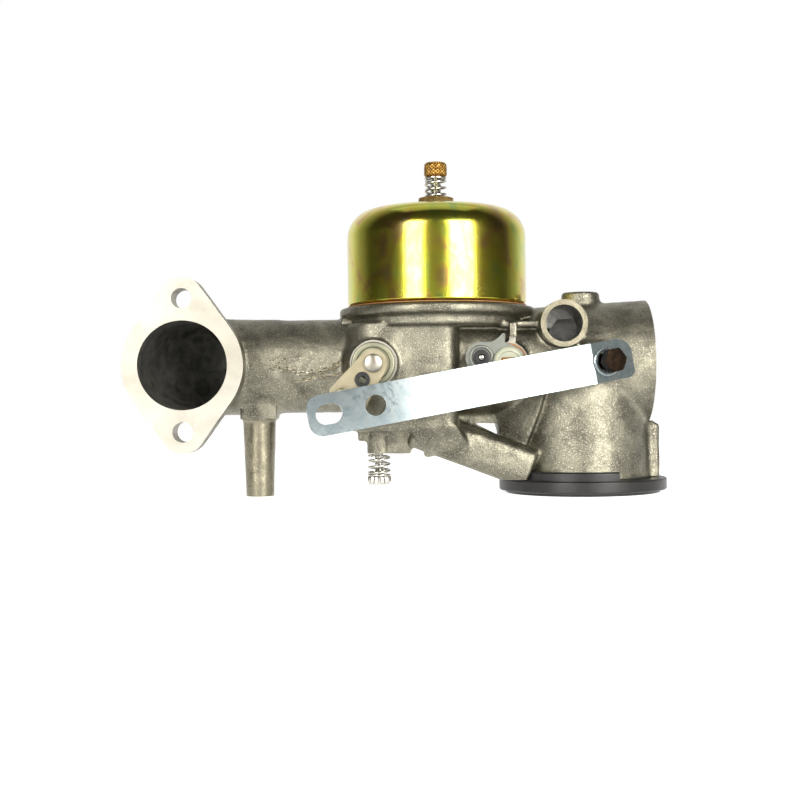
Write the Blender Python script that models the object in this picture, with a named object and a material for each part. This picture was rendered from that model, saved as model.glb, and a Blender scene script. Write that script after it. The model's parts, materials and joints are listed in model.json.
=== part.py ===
"""Side-draught float carburetor with an intake elbow and an air horn, float bowl up.

Frame: +X from the intake flange towards the air horn, +Y away from the lever side, +Z up.
The origin is the centre of the air inlet, on the plane that the seal and the support post stand on.
Sizes below are in millimetres; solid() turns them into metres.
"""
import math

import bmesh
import bpy
from mathutils import Matrix, Vector

MM = 0.001
GAP = 0.3                       # clearance between pieces that touch or run in each other

# ---- driving dimensions -------------------------------------------------------------------
BORE_Z = 42.6                   # height of the main bore, the flange and both shafts
BOWL_X = -47.8                  # float bowl, deck, nozzle and high-speed needle axis
THROTTLE_X = -68.7
CHOKE_X = -26.0
IDLE_X, IDLE_Y = -67.5, -8.0

ELBOW_RADIUS = 18.0             # centreline radius of the 90 degree intake bend
FLANGE_X = -127.9
FLANGE_FACE_Y = -30.0
FLANGE_THICK = 9.5
FLANGE_MID_R = 18.9
FLANGE_END_R = 6.8
FLANGE_HOLE_SPAN = 41.6
FLANGE_HOLE_R = 3.2
INTAKE_R = 13.95                # intake and throttle bore
THROAT_R = 9.5
CHOKE_BORE_R = 14.5
HORN_R = (18.2, 20.7)           # outside radius, bowl end and open end
HORN_BORE_R = (16.8, 17.6)
HORN_END_X = 21.0
DOWN_PIPE_R = (21.9, 20.3)      # outside radius at the seat and at the bore
DOWN_PIPE_BORE_R = 18.0

POST_X, POST_Y = -106.9, -4.0
POST_R = (4.6, 5.5)             # at the tip and under the pipe
POST_COLLAR_Z = (24.7, 27.2)

BULGE_X = (-77.0, -42.0)        # throttle body block under the deck
BULGE_Y = 23.5
BULGE_Z = (21.1, 56.0)
BLOCK_Y = -12.0                 # front of the small blocks beside the idle screw
DECK_TOP_Z = 61.3
DECK_R = 32.3
DECK_RIM_Z = 58.4
LOWER_RING_R = 29.0
LOWER_RING_Z = (54.6, 57.8)

BOWL_R = 29.6
BOWL_WALL = 0.9
BOWL_RIM_Z = 62.3
BOWL_TOP_Z = 95.4
BOWL_SHOULDER_R = 10.5
BOWL_CROWN = 2.2                # rise of the dome above the shoulder
COLUMN_R = 4.9                  # centre column that the bowl is clamped on
COLUMN_TOP_Z = 94.2
COLUMN_BORE_R = 3.2
NUT_FLATS = 11.4
NUT_Z = (96.1, 98.1)

SCREW_PITCH = 0.79
HS_SHAFT_R = 1.9
HS_KNOB_R = 3.85
HS_KNOB_Z = (105.1, 109.9)
HS_SPRING_Z = (98.4, 104.4)
HS_SPRING_R = 3.3               # coil centreline
HS_COILS = 3.0
IDLE_BOSS_Z = 13.8
IDLE_HEAD_R = 3.8
IDLE_HEAD_Z = (3.7, 6.4)
IDLE_SPRING_Z = (7.1, 13.4)
IDLE_SPRING_R = 3.4
IDLE_COILS = 4.0
IDLE_SHAFT_R = 1.5
WIRE_R = 0.42

SHAFT_R = 3.2
THROTTLE_DISC_R = 13.5
CHOKE_DISC_R = 14.0
DISC_THICK = 1.2
THROTTLE_FACE_Y = -24.6         # end of the throttle shaft boss
CHOKE_FACE_Y = -19.4
WASHER_R = 6.85

STRAP_PIVOT = (4.0, -24.8, 42.45)
STRAP_YAW = (22.0, 8.0)         # degrees that it stands out from the casting, at its screw and past its bend
STRAP_BEND_AT = 5.0             # from the pivot
STRAP_DROP = 10.0               # degrees that its free end hangs below the pivot
STRAP_WIDTH = 12.7
STRAP_THICK = 1.5
STRAP_ENDS = (-9.3, 95.2)       # along the strap, from the pivot
STRAP_SLOT_AT, STRAP_HOLE_AT = 88.6, 74.2
STRAP_HOLE_R = 3.2

SEAL_R = 27.6
SEAL_BORE_R = 20.0
SEAL_Z = (0.0, 0.9, 4.8, 7.6)   # lip, rim bottom, rim top, collar top
SEAL_LIP_R = 25.4
SEAL_COLLAR_R = (22.3, 25.8)
SEAL_COLLAR_TURN = (-63.0, -297.0)   # degrees, from the front round the left side
SEAT_Z = 5.1                    # shoulder of the casting above the seal

PIN_Y, PIN_Z = 22.3, 65.2       # float hinge pin
NEEDLE_Y = 16.6                 # inlet needle
FLOAT_R = (9.0, 25.0)
FLOAT_Z = (69.5, 81.0)


# ---- helpers --------------------------------------------------------------------------------
def clear_scene():
    for item in list(bpy.data.objects):
        bpy.data.objects.remove(item, do_unlink=True)


def material(name, colour, roughness, metallic):
    made = bpy.data.materials.new(name)
    made.use_nodes = True
    shader = made.node_tree.nodes["Principled BSDF"]
    shader.inputs["Base Color"].default_value = (*colour, 1.0)
    shader.inputs["Roughness"].default_value = roughness
    shader.inputs["Metallic"].default_value = metallic
    return made


def solid(name, mesh_edit):
    """Turn a bmesh in millimetres into an object in metres with its faces pointing out."""
    bmesh.ops.recalc_face_normals(mesh_edit, faces=mesh_edit.faces)
    bmesh.ops.scale(mesh_edit, verts=mesh_edit.verts, vec=(MM, MM, MM))
    mesh = bpy.data.meshes.new(name)
    mesh_edit.to_mesh(mesh)
    mesh_edit.free()
    made = bpy.data.objects.new(name, mesh)
    bpy.context.collection.objects.link(made)
    return made


def frame_along(axis):
    """Rotation that turns local +Z onto the axis."""
    return Vector((0, 0, 1)).rotation_difference(Vector(axis)).to_matrix().to_4x4()


def skin(mesh_edit, rings, closed):
    """Join rings of vertices with faces; a ring of one vertex is a point on the axis."""
    pairs = list(zip(rings, rings[1:]))
    if closed:
        pairs.append((rings[-1], rings[0]))
    for low, high in pairs:
        for k in range(max(len(low), len(high))):
            corners = [low[k % len(low)], low[(k + 1) % len(low)]]
            corners += [high[(k + 1) % len(high)], high[k % len(high)]]
            face = list(dict.fromkeys(corners))
            if len(face) > 2:
                mesh_edit.faces.new(face)


def lathe(name, profile, base=(0, 0, 0), axis=(0, 0, 1), segments=32, closed=False):
    """Turn a profile of (radius, height) about an axis through base."""
    mesh_edit = bmesh.new()
    place = Matrix.Translation(base) @ frame_along(axis)
    rings = []
    for radius, height in profile:
        count = segments if radius > 0 else 1
        turns = [2 * math.pi * k / segments for k in range(count)]
        points = [(radius * math.cos(a), radius * math.sin(a), height) for a in turns]
        rings.append([mesh_edit.verts.new(place @ Vector(p)) for p in points])
    skin(mesh_edit, rings, closed)
    return solid(name, mesh_edit)


def rod(name, start, end, radius, end_radius=None, segments=24):
    """A cylinder or cone between two points."""
    along = Vector(end) - Vector(start)
    tip = radius if end_radius is None else end_radius
    profile = [(0, 0), (radius, 0), (tip, along.length), (0, along.length)]
    return lathe(name, profile, start, along, segments)


def block(name, low, high):
    mesh_edit = bmesh.new()
    bmesh.ops.create_cube(mesh_edit, size=1.0)
    centre = (Vector(low) + Vector(high)) / 2
    size = Vector(high) - Vector(low)
    bmesh.ops.transform(mesh_edit, matrix=Matrix.Translation(centre) @ Matrix.Diagonal((*size, 1)),
                        verts=mesh_edit.verts)
    return solid(name, mesh_edit)


def arc(centre, radius, start, end, steps):
    """Points on an arc, angles in degrees."""
    angles = [math.radians(start + (end - start) * k / steps) for k in range(steps + 1)]
    return [(centre[0] + radius * math.cos(a), centre[1] + radius * math.sin(a)) for a in angles]


def extrude(name, outline, low, high, place):
    """Extrude an outline along local Z from low to high, then place it."""
    mesh_edit = bmesh.new()
    rings = [[mesh_edit.verts.new(place @ Vector((u, v, w))) for u, v in outline] for w in (low, high)]
    skin(mesh_edit, rings, False)
    for ring in rings:
        mesh_edit.faces.new(ring)
    return solid(name, mesh_edit)


UPRIGHT = Matrix(((1, 0, 0, 0), (0, 0, 1, 0), (0, 1, 0, 0), (0, 0, 0, 1)))   # outline X, Z; depth along Y
LEVEL = Matrix.Identity(4)                                                   # outline X, Y; depth along Z


def sweep(name, stations, segments=28):
    """A round tube through (point, radius) stations, with flat ends."""
    mesh_edit = bmesh.new()
    points = [Vector(point) for point, _ in stations]
    rings = []
    side = Vector((0, 0, 1))
    for k, (_, radius) in enumerate(stations):
        ahead = points[min(k + 1, len(points) - 1)] - points[k]
        behind = points[k] - points[max(k - 1, 0)]
        along = (ahead.normalized() + behind.normalized()).normalized()
        side = (side - along * side.dot(along)).normalized()
        other = along.cross(side)
        ring = []
        for j in range(segments):
            turn = 2 * math.pi * j / segments
            ring.append(mesh_edit.verts.new(points[k] + radius * (side * math.cos(turn) + other * math.sin(turn))))
        rings.append(ring)
    skin(mesh_edit, rings, False)
    mesh_edit.faces.new(rings[0])
    mesh_edit.faces.new(rings[-1])
    return solid(name, mesh_edit)


def coil_spring(name, centre, low, high, radius, coils, steps=11):
    """A compression spring: closed end turns with an even pitch between them."""
    stations = []
    turns = coils + 2.0
    for k in range(int(turns * steps) + 1):
        t = k / steps
        active = min(max(t - 1.0, 0.0), coils) / coils
        lay = 2.3 * WIRE_R
        height = low + WIRE_R + lay * min(t, 1.0) + lay * max(t - 1.0 - coils, 0.0)
        height += active * (high - low - 2 * WIRE_R - 2 * lay)
        turn = 2 * math.pi * t
        stations.append(((centre[0] + radius * math.cos(turn), centre[1] + radius * math.sin(turn), height), WIRE_R))
    return sweep(name, stations, 4)


def combine(body, tools, operation):
    """Apply one Boolean with all the tools together, weld stray points, then remove the tools."""
    group = bpy.data.collections.new("tools")
    for tool in tools:
        group.objects.link(tool)
    step = body.modifiers.new(operation.lower(), "BOOLEAN")
    step.operation = operation
    step.solver = "EXACT"
    step.operand_type = "COLLECTION"
    step.collection = group
    graph = bpy.context.evaluated_depsgraph_get()
    result = bpy.data.meshes.new_from_object(body.evaluated_get(graph))
    body.modifiers.clear()
    body.data = result
    mesh_edit = bmesh.new()
    mesh_edit.from_mesh(result)
    bmesh.ops.remove_doubles(mesh_edit, verts=mesh_edit.verts, dist=0.005 * MM)
    bmesh.ops.dissolve_degenerate(mesh_edit, edges=mesh_edit.edges, dist=0.005 * MM)
    mesh_edit.to_mesh(result)
    mesh_edit.free()
    for tool in tools:
        bpy.data.objects.remove(tool, do_unlink=True)
    bpy.data.collections.remove(group)
    return body


def join(body, *tools):
    return combine(body, tools, "UNION")


def cut(body, *tools):
    return combine(body, tools, "DIFFERENCE")


def finish(part, look, pivot=(0, 0, 0)):
    """Give a piece its material, smooth its round faces and set its origin on the pivot."""
    part.data.materials.clear()
    part.data.materials.append(look)
    place = Vector(pivot) * MM
    part.data.transform(Matrix.Translation(-place))
    part.location = place
    part.data.shade_smooth()
    part.data.set_sharp_from_angle(angle=math.radians(35))
    return part


def along_x(x, radius):
    return ((x, 0, BORE_Z), radius)


# ---- body casting ---------------------------------------------------------------------------
def elbow_stations(radii):
    """The intake bend: radius at the flange, after the bend and at the throttle body."""
    centre = (FLANGE_X + ELBOW_RADIUS, -ELBOW_RADIUS)
    stations = []
    steps = 7
    for k, (x, y) in enumerate(arc(centre, ELBOW_RADIUS, 180, 90, steps)):
        stations.append(((x, y, BORE_Z), radii[0] + (radii[1] - radii[0]) * k / steps))
    return stations


def casing():
    """The elbow, the throttle barrel and the air horn in one run."""
    stations = [((FLANGE_X, FLANGE_FACE_Y + 4, BORE_Z), 16.4)]
    stations += elbow_stations((16.4, 15.7))
    stations += [along_x(-99.6, 15.5), along_x(-72, 15.5), along_x(-60, 18.2), along_x(-24, HORN_R[0])]
    stations += [along_x(HORN_END_X, HORN_R[1])]
    return sweep("carburetor_body", stations)


def main_bore():
    """The air path from the flange face to the open end of the horn."""
    stations = [((FLANGE_X, FLANGE_FACE_Y - 2, BORE_Z), INTAKE_R)]
    stations += elbow_stations((INTAKE_R, INTAKE_R))
    stations += [along_x(-57, INTAKE_R), along_x(-51.5, THROAT_R), along_x(-44.5, THROAT_R)]
    stations += [along_x(-35, CHOKE_BORE_R), along_x(-11, CHOKE_BORE_R), along_x(-9, HORN_BORE_R[0])]
    stations += [along_x(HORN_END_X - 3, HORN_BORE_R[1]), along_x(HORN_END_X - 2.99, 18.6)]
    stations += [along_x(HORN_END_X + 2, 18.6)]
    return sweep("main_bore", stations)


def flange_outline():
    """A rounded diamond: middle arcs about the bore, end arcs about the bolt holes."""
    half = FLANGE_HOLE_SPAN / 2
    lean = math.degrees(math.asin((FLANGE_MID_R - FLANGE_END_R) / half))
    middle = (FLANGE_X, BORE_Z)
    outline = arc(middle, FLANGE_MID_R, -lean, lean, 6)
    outline += arc((FLANGE_X, BORE_Z + half), FLANGE_END_R, lean, 180 - lean, 8)
    outline += arc(middle, FLANGE_MID_R, 180 - lean, 180 + lean, 6)
    outline += arc((FLANGE_X, BORE_Z - half), FLANGE_END_R, 180 + lean, 360 - lean, 8)
    return outline


def bulge_outline():
    """The throttle body block seen from above: soft left corners, tight right ones."""
    left, right = BULGE_X
    soft, tight = 11.0, 4.0
    front, back = -BULGE_Y, BULGE_Y
    outline = arc((right - tight, front + tight), tight, -90, 0, 3)
    outline += arc((right - tight, back - tight), tight, 0, 90, 3)
    outline += arc((left + soft, back - soft), soft, 90, 180, 5)
    outline += arc((left + soft, front + soft), soft, 180, 270, 5)
    return outline


def slanted_arm():
    """The bar from the throttle body down to the air inlet, its front edge rounded."""
    start, end = Vector((-56.0, 22.3)), Vector((-18.5, 8.2))
    along = (end - start).normalized()
    across = Vector((-along.y, along.x))
    half_width, front, back, nose = 6.4, -18.5, 3.0, 3.5
    mesh_edit = bmesh.new()
    section = arc((half_width - nose, front + nose), nose, 0, -90, 4)
    section += arc((nose - half_width, front + nose), nose, -90, -180, 4)
    section += [(-half_width, back), (half_width, back)]
    rings = []
    for centre in (start, end):
        ring = []
        for offset, depth in section:
            x, z = centre + across * offset
            ring.append(mesh_edit.verts.new((x, depth, z)))
        rings.append(ring)
    skin(mesh_edit, rings, False)
    for ring in rings:
        mesh_edit.faces.new(ring)
    return solid("slanted_arm", mesh_edit)


def strap_frames():
    """The frames at the strap's pivot and past its bend: X along the strap, Y across it, Z out to the lever side.

    X is counted from the pivot in both.
    """
    yaw, drop = math.radians(STRAP_YAW[1]), math.radians(STRAP_DROP)
    out = Vector((math.sin(yaw), -math.cos(yaw), 0))
    level = Vector((-math.cos(yaw), -math.sin(yaw), 0))
    along = level * math.cos(drop) - Vector((0, 0, 1)) * math.sin(drop)
    far = Matrix((along, out.cross(along), out)).transposed().to_4x4()
    near = far @ Matrix.Rotation(math.radians(STRAP_YAW[1] - STRAP_YAW[0]), 4, "Y")
    near = Matrix.Translation(STRAP_PIVOT) @ near
    bend = near @ Vector((STRAP_BEND_AT, 0, 0))
    return near, Matrix.Translation(bend) @ far @ Matrix.Translation((-STRAP_BEND_AT, 0, 0))


def bend_strap(strap):
    """Split a flat strap at its bend and lay both parts in their frames."""
    near, far = strap_frames()
    mesh_edit = bmesh.new()
    mesh_edit.from_mesh(strap.data)
    geometry = mesh_edit.verts[:] + mesh_edit.edges[:] + mesh_edit.faces[:]
    bmesh.ops.bisect_plane(mesh_edit, geom=geometry, plane_co=(STRAP_BEND_AT * MM, 0, 0), plane_no=(1, 0, 0))
    for vert in mesh_edit.verts:
        flat = vert.co / MM
        share = 0.5 if abs(flat.x - STRAP_BEND_AT) < 0.01 else float(flat.x > STRAP_BEND_AT)
        vert.co = (near @ flat).lerp(far @ flat, share) * MM
    mesh_edit.to_mesh(strap.data)
    mesh_edit.free()
    return strap


def deck():
    """The round deck that the float bowl seals on, with its lower ring."""
    profile = [(0, LOWER_RING_Z[0]), (LOWER_RING_R - 0.8, LOWER_RING_Z[0]), (LOWER_RING_R, LOWER_RING_Z[0] + 0.8)]
    profile += [(LOWER_RING_R, LOWER_RING_Z[1]), (LOWER_RING_R - 0.6, LOWER_RING_Z[1] + 0.3)]
    profile += [(DECK_R - 1.0, DECK_RIM_Z), (DECK_R, DECK_RIM_Z + 0.9), (DECK_R, DECK_TOP_Z - 1.0)]
    profile += [(DECK_R - 0.9, DECK_TOP_Z), (0, DECK_TOP_Z)]
    return lathe("deck", profile, (BOWL_X, 0, 0), segments=40)


def collar_outline(grow):
    """The seal's part collar seen from above, grown on all sides."""
    inner, outer = SEAL_COLLAR_R
    start, end = SEAL_COLLAR_TURN[0] + 3 * grow, SEAL_COLLAR_TURN[1] - 3 * grow
    return arc((0, 0), outer + grow, start, end, 26) + arc((0, 0), inner - grow, end, start, 26)


def seal_space():
    """Room for the seal under the casting."""
    inner = SEAL_BORE_R - GAP
    profile = [(inner, -2), (45, -2), (45, SEAT_Z), (inner, SEAT_Z)]
    ring_room = lathe("seal_space", profile, segments=40, closed=True)
    return [ring_room, extrude("collar_space", collar_outline(GAP), 3, SEAL_Z[3] + GAP, LEVEL)]


def arm_root():
    """The flare from the throttle body's front down to the slanted arm."""
    sections = ((14.6, -50.6, -38.4, -18.7), (18.5, -55.5, -39.6, -20.6), (23.0, -58.5, -42.4, -23.2))
    mesh_edit = bmesh.new()
    rings = []
    for z, left, right, front in sections:
        ring = [(left, front, z), (right, front, z), (right, -8, z), (left, -8, z)]
        rings.append([mesh_edit.verts.new(point) for point in ring])
    skin(mesh_edit, rings, False)
    mesh_edit.faces.new(rings[0])
    mesh_edit.faces.new(rings[-1])
    return solid("arm_root", mesh_edit)


def body_lumps():
    """Everything that stands on the casing."""
    lumps = [deck()]
    lumps.append(extrude("flange", flange_outline(), FLANGE_FACE_Y, FLANGE_FACE_Y + FLANGE_THICK, UPRIGHT))
    lumps.append(extrude("bulge", bulge_outline(), BULGE_Z[0], BULGE_Z[1], LEVEL))
    lumps.append(rod("down_pipe", (0, 0, SEAT_Z - 1), (0, 0, BORE_Z + 6), DOWN_PIPE_R[0], DOWN_PIPE_R[1], 40))
    lumps.append(rod("seat_neck", (0, 0, 0.6), (0, 0, SEAT_Z + 1), SEAL_BORE_R + 1, None, 40))
    lumps.append(block("side_pad", (17.0, -6.0, SEAT_Z - 1), (24.9, 6.0, 22.6)))
    lumps.append(rod("post", (POST_X, POST_Y, 0), (POST_X, POST_Y, 34), POST_R[0], POST_R[1] + 0.3))
    lumps.append(block("post_collar", (POST_X - 6.4, POST_Y - 6, POST_COLLAR_Z[0]),
                       (POST_X + 6.4, POST_Y + 6, POST_COLLAR_Z[1] + 4)))
    lumps.append(slanted_arm())
    web = [(-46, 30), (-12, 30), (-12, 12), (-19, 12), (-46, 20)]
    lumps.append(extrude("web", web, -8, 8, UPRIGHT))
    lumps.append(rod("idle_boss", (IDLE_X, IDLE_Y, IDLE_BOSS_Z), (IDLE_X, IDLE_Y, 30), 3.8))
    lumps.append(block("idle_block", (-64.8, BLOCK_Y, IDLE_BOSS_Z), (-56.9, -2, 26)))
    lumps.append(block("idle_tab", (-74.3, BLOCK_Y + 2, 17.8), (-70.0, -2, 30)))
    lumps.append(block("idle_bridge", (-68.0, BLOCK_Y + 1, IDLE_BOSS_Z + 1), (-64.0, -4, 26)))
    lumps.append(block("gap_rib", (-52.8, BLOCK_Y - 3, 12.6), (-50.3, 4, 24)))
    lumps.append(block("gap_back", (-58.0, -1, 15.0), (-51.0, 3.2, 24)))
    lumps.append(rod("throttle_boss", (THROTTLE_X, THROTTLE_FACE_Y, BORE_Z), (THROTTLE_X, 26, BORE_Z), 7.4))
    lumps.append(rod("choke_boss", (CHOKE_X, CHOKE_FACE_Y, BORE_Z), (CHOKE_X, 21, BORE_Z), 6.6))
    lumps.append(rod("breather_boss", (-8.6, -25, 54.7), (-8.6, -6, 54.7), 7.35, None, 32))
    lumps.append(rod("stud_boss", (0, 0, 50), (0, 0, 66.3), 6.25, None, 28))
    lumps.append(block("stop_bar", (-28.4, -20.8, 54.1), (-14.4, -10, 55.6)))
    lumps.append(block("stop_stem", (-25.3, -22.6, 49.3), (-23.5, -10, 55.0)))
    lumps.append(arm_root())
    lumps.append(block("deck_tab", (-80.4, -9, 56.4), (-74, 3, 58.2)))
    place = strap_frames()[0]
    lumps.append(rod("screw_boss", place @ Vector((0, 0, -GAP)), place @ Vector((0, 0, -10)), 5.2))
    lumps.append(rod("column", (BOWL_X, 0, 58), (BOWL_X, 0, COLUMN_TOP_Z), COLUMN_R, None, 28))
    lumps.append(rod("seat_boss", (BOWL_X, NEEDLE_Y, 60), (BOWL_X, NEEDLE_Y, 62.6), 4.4, None, 20))
    for side in (-1, 1):
        x = BOWL_X + side * 6.6
        lumps.append(block("hinge_post", (x - 1.2, PIN_Y - 2.2, 60), (x + 1.2, PIN_Y + 2.2, PIN_Z + 2.2)))
    lumps.append(rod("inlet_boss", (BOWL_X, 12, 49.5), (BOWL_X, 28, 49.5), 5.6, None, 20))
    return lumps


def body_cutters():
    """The air path, the drillings and the windows."""
    cutters = [main_bore(), *seal_space()]
    cutters.append(rod("inlet_bore", (0, 0, -1), (0, 0, BORE_Z), DOWN_PIPE_BORE_R, None, 40))
    cutters.append(rod("breather_bore", (-8.6, -26, 54.7), (-8.6, -8, 54.7), 5.85, None, 28))
    for side in (-1, 1):
        z = BORE_Z + side * FLANGE_HOLE_SPAN / 2
        cutters.append(rod("bolt_hole", (FLANGE_X, FLANGE_FACE_Y - 1, z), (FLANGE_X, FLANGE_FACE_Y + 11, z),
                           FLANGE_HOLE_R))
    cutters.append(rod("post_hole", (POST_X, POST_Y, -1), (POST_X, POST_Y, 14), 2.55, None, 16))
    cutters.append(rod("throttle_hole", (THROTTLE_X, -30, BORE_Z), (THROTTLE_X, 22, BORE_Z), SHAFT_R + GAP))
    cutters.append(rod("choke_hole", (CHOKE_X, -30, BORE_Z), (CHOKE_X, 18.5, BORE_Z), SHAFT_R + GAP))
    cutters.append(rod("idle_hole", (IDLE_X, IDLE_Y, 12), (IDLE_X, IDLE_Y, 29), IDLE_SHAFT_R + GAP, None, 16))
    cutters.append(rod("idle_port", (IDLE_X, IDLE_Y, 27), (IDLE_X, IDLE_Y, 33), 0.8, None, 12))
    cutters.append(rod("column_bore", (BOWL_X, 0, BORE_Z + 2), (BOWL_X, 0, 96), COLUMN_BORE_R, None, 24))
    cutters.append(rod("column_mouth", (BOWL_X, 0, 87), (BOWL_X, 0, 96), 3.95, None, 24))
    cutters.append(rod("seat_hole", (BOWL_X, NEEDLE_Y, 49.5), (BOWL_X, NEEDLE_Y, 64), 3.1, None, 20))
    cutters.append(rod("inlet_hole", (BOWL_X, NEEDLE_Y, 49.5), (BOWL_X, 30, 49.5), 2.9, None, 20))
    cutters.append(rod("pin_hole", (BOWL_X - 10, PIN_Y, PIN_Z), (BOWL_X + 10, PIN_Y, PIN_Z), 1.1, None, 12))
    cutters.append(rod("stud_hole", (0, 0, BORE_Z), (0, 0, 63.8), 2.7, None, 16))
    cutters.append(rod("plug_recess", (-56, BULGE_Y - 1.4, 50), (-56, BULGE_Y + 2, 50), 4.3, None, 20))
    place = strap_frames()[0]
    cutters.append(rod("screw_hole", place @ Vector((0, 0, 1)), place @ Vector((0, 0, -8)), 2.6, None, 16))
    window = [(-35.4, 22.9), (-28.8, 22.8), (-27.9, 19.4)]
    cutters.append(extrude("window", window, -30, 30, UPRIGHT))
    return cutters


def build_body(look):
    body = join(casing(), *body_lumps())
    return finish(cut(body, *body_cutters()), look)


# ---- float bowl and its fittings ----------------------------------------------------------
def bowl_profile(radius, rim, top, shoulder, hole):
    """Outer or inner half profile, from the rim up to the hole in the crown."""
    profile = [(radius, rim)]
    centre = (radius - shoulder, top - BOWL_CROWN - shoulder)
    profile += arc(centre, shoulder, 0, 84, 5)
    middle_r = (radius - shoulder) * 0.5
    profile += [(middle_r, top - BOWL_CROWN * 0.25), (hole + 3.5, top), (hole, top)]
    return profile


def build_bowl(look):
    outer = bowl_profile(BOWL_R, BOWL_RIM_Z, BOWL_TOP_Z, BOWL_SHOULDER_R, 3.95)
    inner = bowl_profile(BOWL_R - BOWL_WALL, BOWL_RIM_Z, BOWL_TOP_Z - BOWL_WALL, BOWL_SHOULDER_R - BOWL_WALL, 3.95)
    bowl = lathe("float_bowl", outer + inner[::-1], (BOWL_X, 0, 0), segments=40, closed=True)
    finish(bowl, look)


def ring(name, centre, axis, inner, outer, thick, look, segments=28):
    """A flat washer whose first face is at centre, growing along axis."""
    profile = [(inner, 0), (outer, 0), (outer, thick), (inner, thick)]
    return finish(lathe(name, profile, centre, axis, segments, closed=True), look)


def build_gasket(look):
    low = DECK_TOP_Z + GAP
    ring("bowl_gasket", (BOWL_X, 0, low), (0, 0, 1), BOWL_R - 3.0, BOWL_R + 0.2, BOWL_RIM_Z - GAP - low, look, 40)


def build_packing_nut(look):
    """Hexagon head with a neck that clamps the bowl to the column."""
    across = NUT_FLATS / math.sqrt(3)
    outline = [(BOWL_X + x, y) for x, y in arc((0, 0), across, -90, 210, 5)]
    nut = extrude("packing_nut", outline, NUT_Z[0], NUT_Z[1], LEVEL)
    join(nut, rod("neck", (BOWL_X, 0, 88), (BOWL_X, 0, NUT_Z[0] + 0.5), 3.6))
    cut(nut, rod("needle_hole", (BOWL_X, 0, 86), (BOWL_X, 0, 99), HS_SHAFT_R + GAP))
    finish(nut, look)


def slot_cutter(centre, z_low, z_high):
    """A screwdriver slot across a head."""
    return block("slot", (centre[0] - 6, centre[1] - 0.5, z_low), (centre[0] + 6, centre[1] + 0.5, z_high))


def build_high_speed(brass, steel):
    low, high = HS_KNOB_Z
    profile = [(0, 60), (0.35, 60), (1.0, 64.5), (1.0, 71), (HS_SHAFT_R, 72), (HS_SHAFT_R, low)]
    profile += [(HS_KNOB_R - 0.5, low), (HS_KNOB_R, low + 0.5), (HS_KNOB_R, high - 0.5), (HS_KNOB_R - 0.5, high)]
    profile += [(0, high)]
    needle = lathe("high_speed_needle", profile, (BOWL_X, 0, 0), segments=20)
    cut(needle, slot_cutter((BOWL_X, 0), high - 1.2, high + 1))
    finish(needle, brass, (BOWL_X, 0, high))
    spring = coil_spring("high_speed_spring", (BOWL_X, 0), HS_SPRING_Z[0], HS_SPRING_Z[1], HS_SPRING_R, HS_COILS)
    finish(spring, steel, (BOWL_X, 0, HS_SPRING_Z[0]))
    ring("high_speed_spring_washer", (BOWL_X, 0, HS_SPRING_Z[1] + 0.1), (0, 0, 1), HS_SHAFT_R + GAP,
         HS_KNOB_R - 0.1, low - HS_SPRING_Z[1] - 0.2, steel, 20)


def build_idle(steel):
    low, high = IDLE_HEAD_Z
    profile = [(0, low), (IDLE_HEAD_R - 0.4, low), (IDLE_HEAD_R, low + 0.4), (IDLE_HEAD_R, high - 0.3)]
    profile += [(IDLE_HEAD_R - 0.3, high), (IDLE_SHAFT_R, high), (IDLE_SHAFT_R, 24), (0.3, 27.5), (0, 27.5)]
    needle = lathe("idle_needle", profile, (IDLE_X, IDLE_Y, 0), segments=20)
    cut(needle, slot_cutter((IDLE_X, IDLE_Y), low - 1, low + 0.9))
    finish(needle, steel, (IDLE_X, IDLE_Y, low))
    low_end, high_end = IDLE_SPRING_Z
    spring = coil_spring("idle_spring", (IDLE_X, IDLE_Y), low_end, high_end, IDLE_SPRING_R, IDLE_COILS)
    finish(spring, steel, (IDLE_X, IDLE_Y, high_end))
    ring("idle_spring_washer", (IDLE_X, IDLE_Y, high + 0.1), (0, 0, 1), IDLE_SHAFT_R + GAP, IDLE_HEAD_R + 0.05,
         low_end - high - 0.2, steel, 20)


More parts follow.
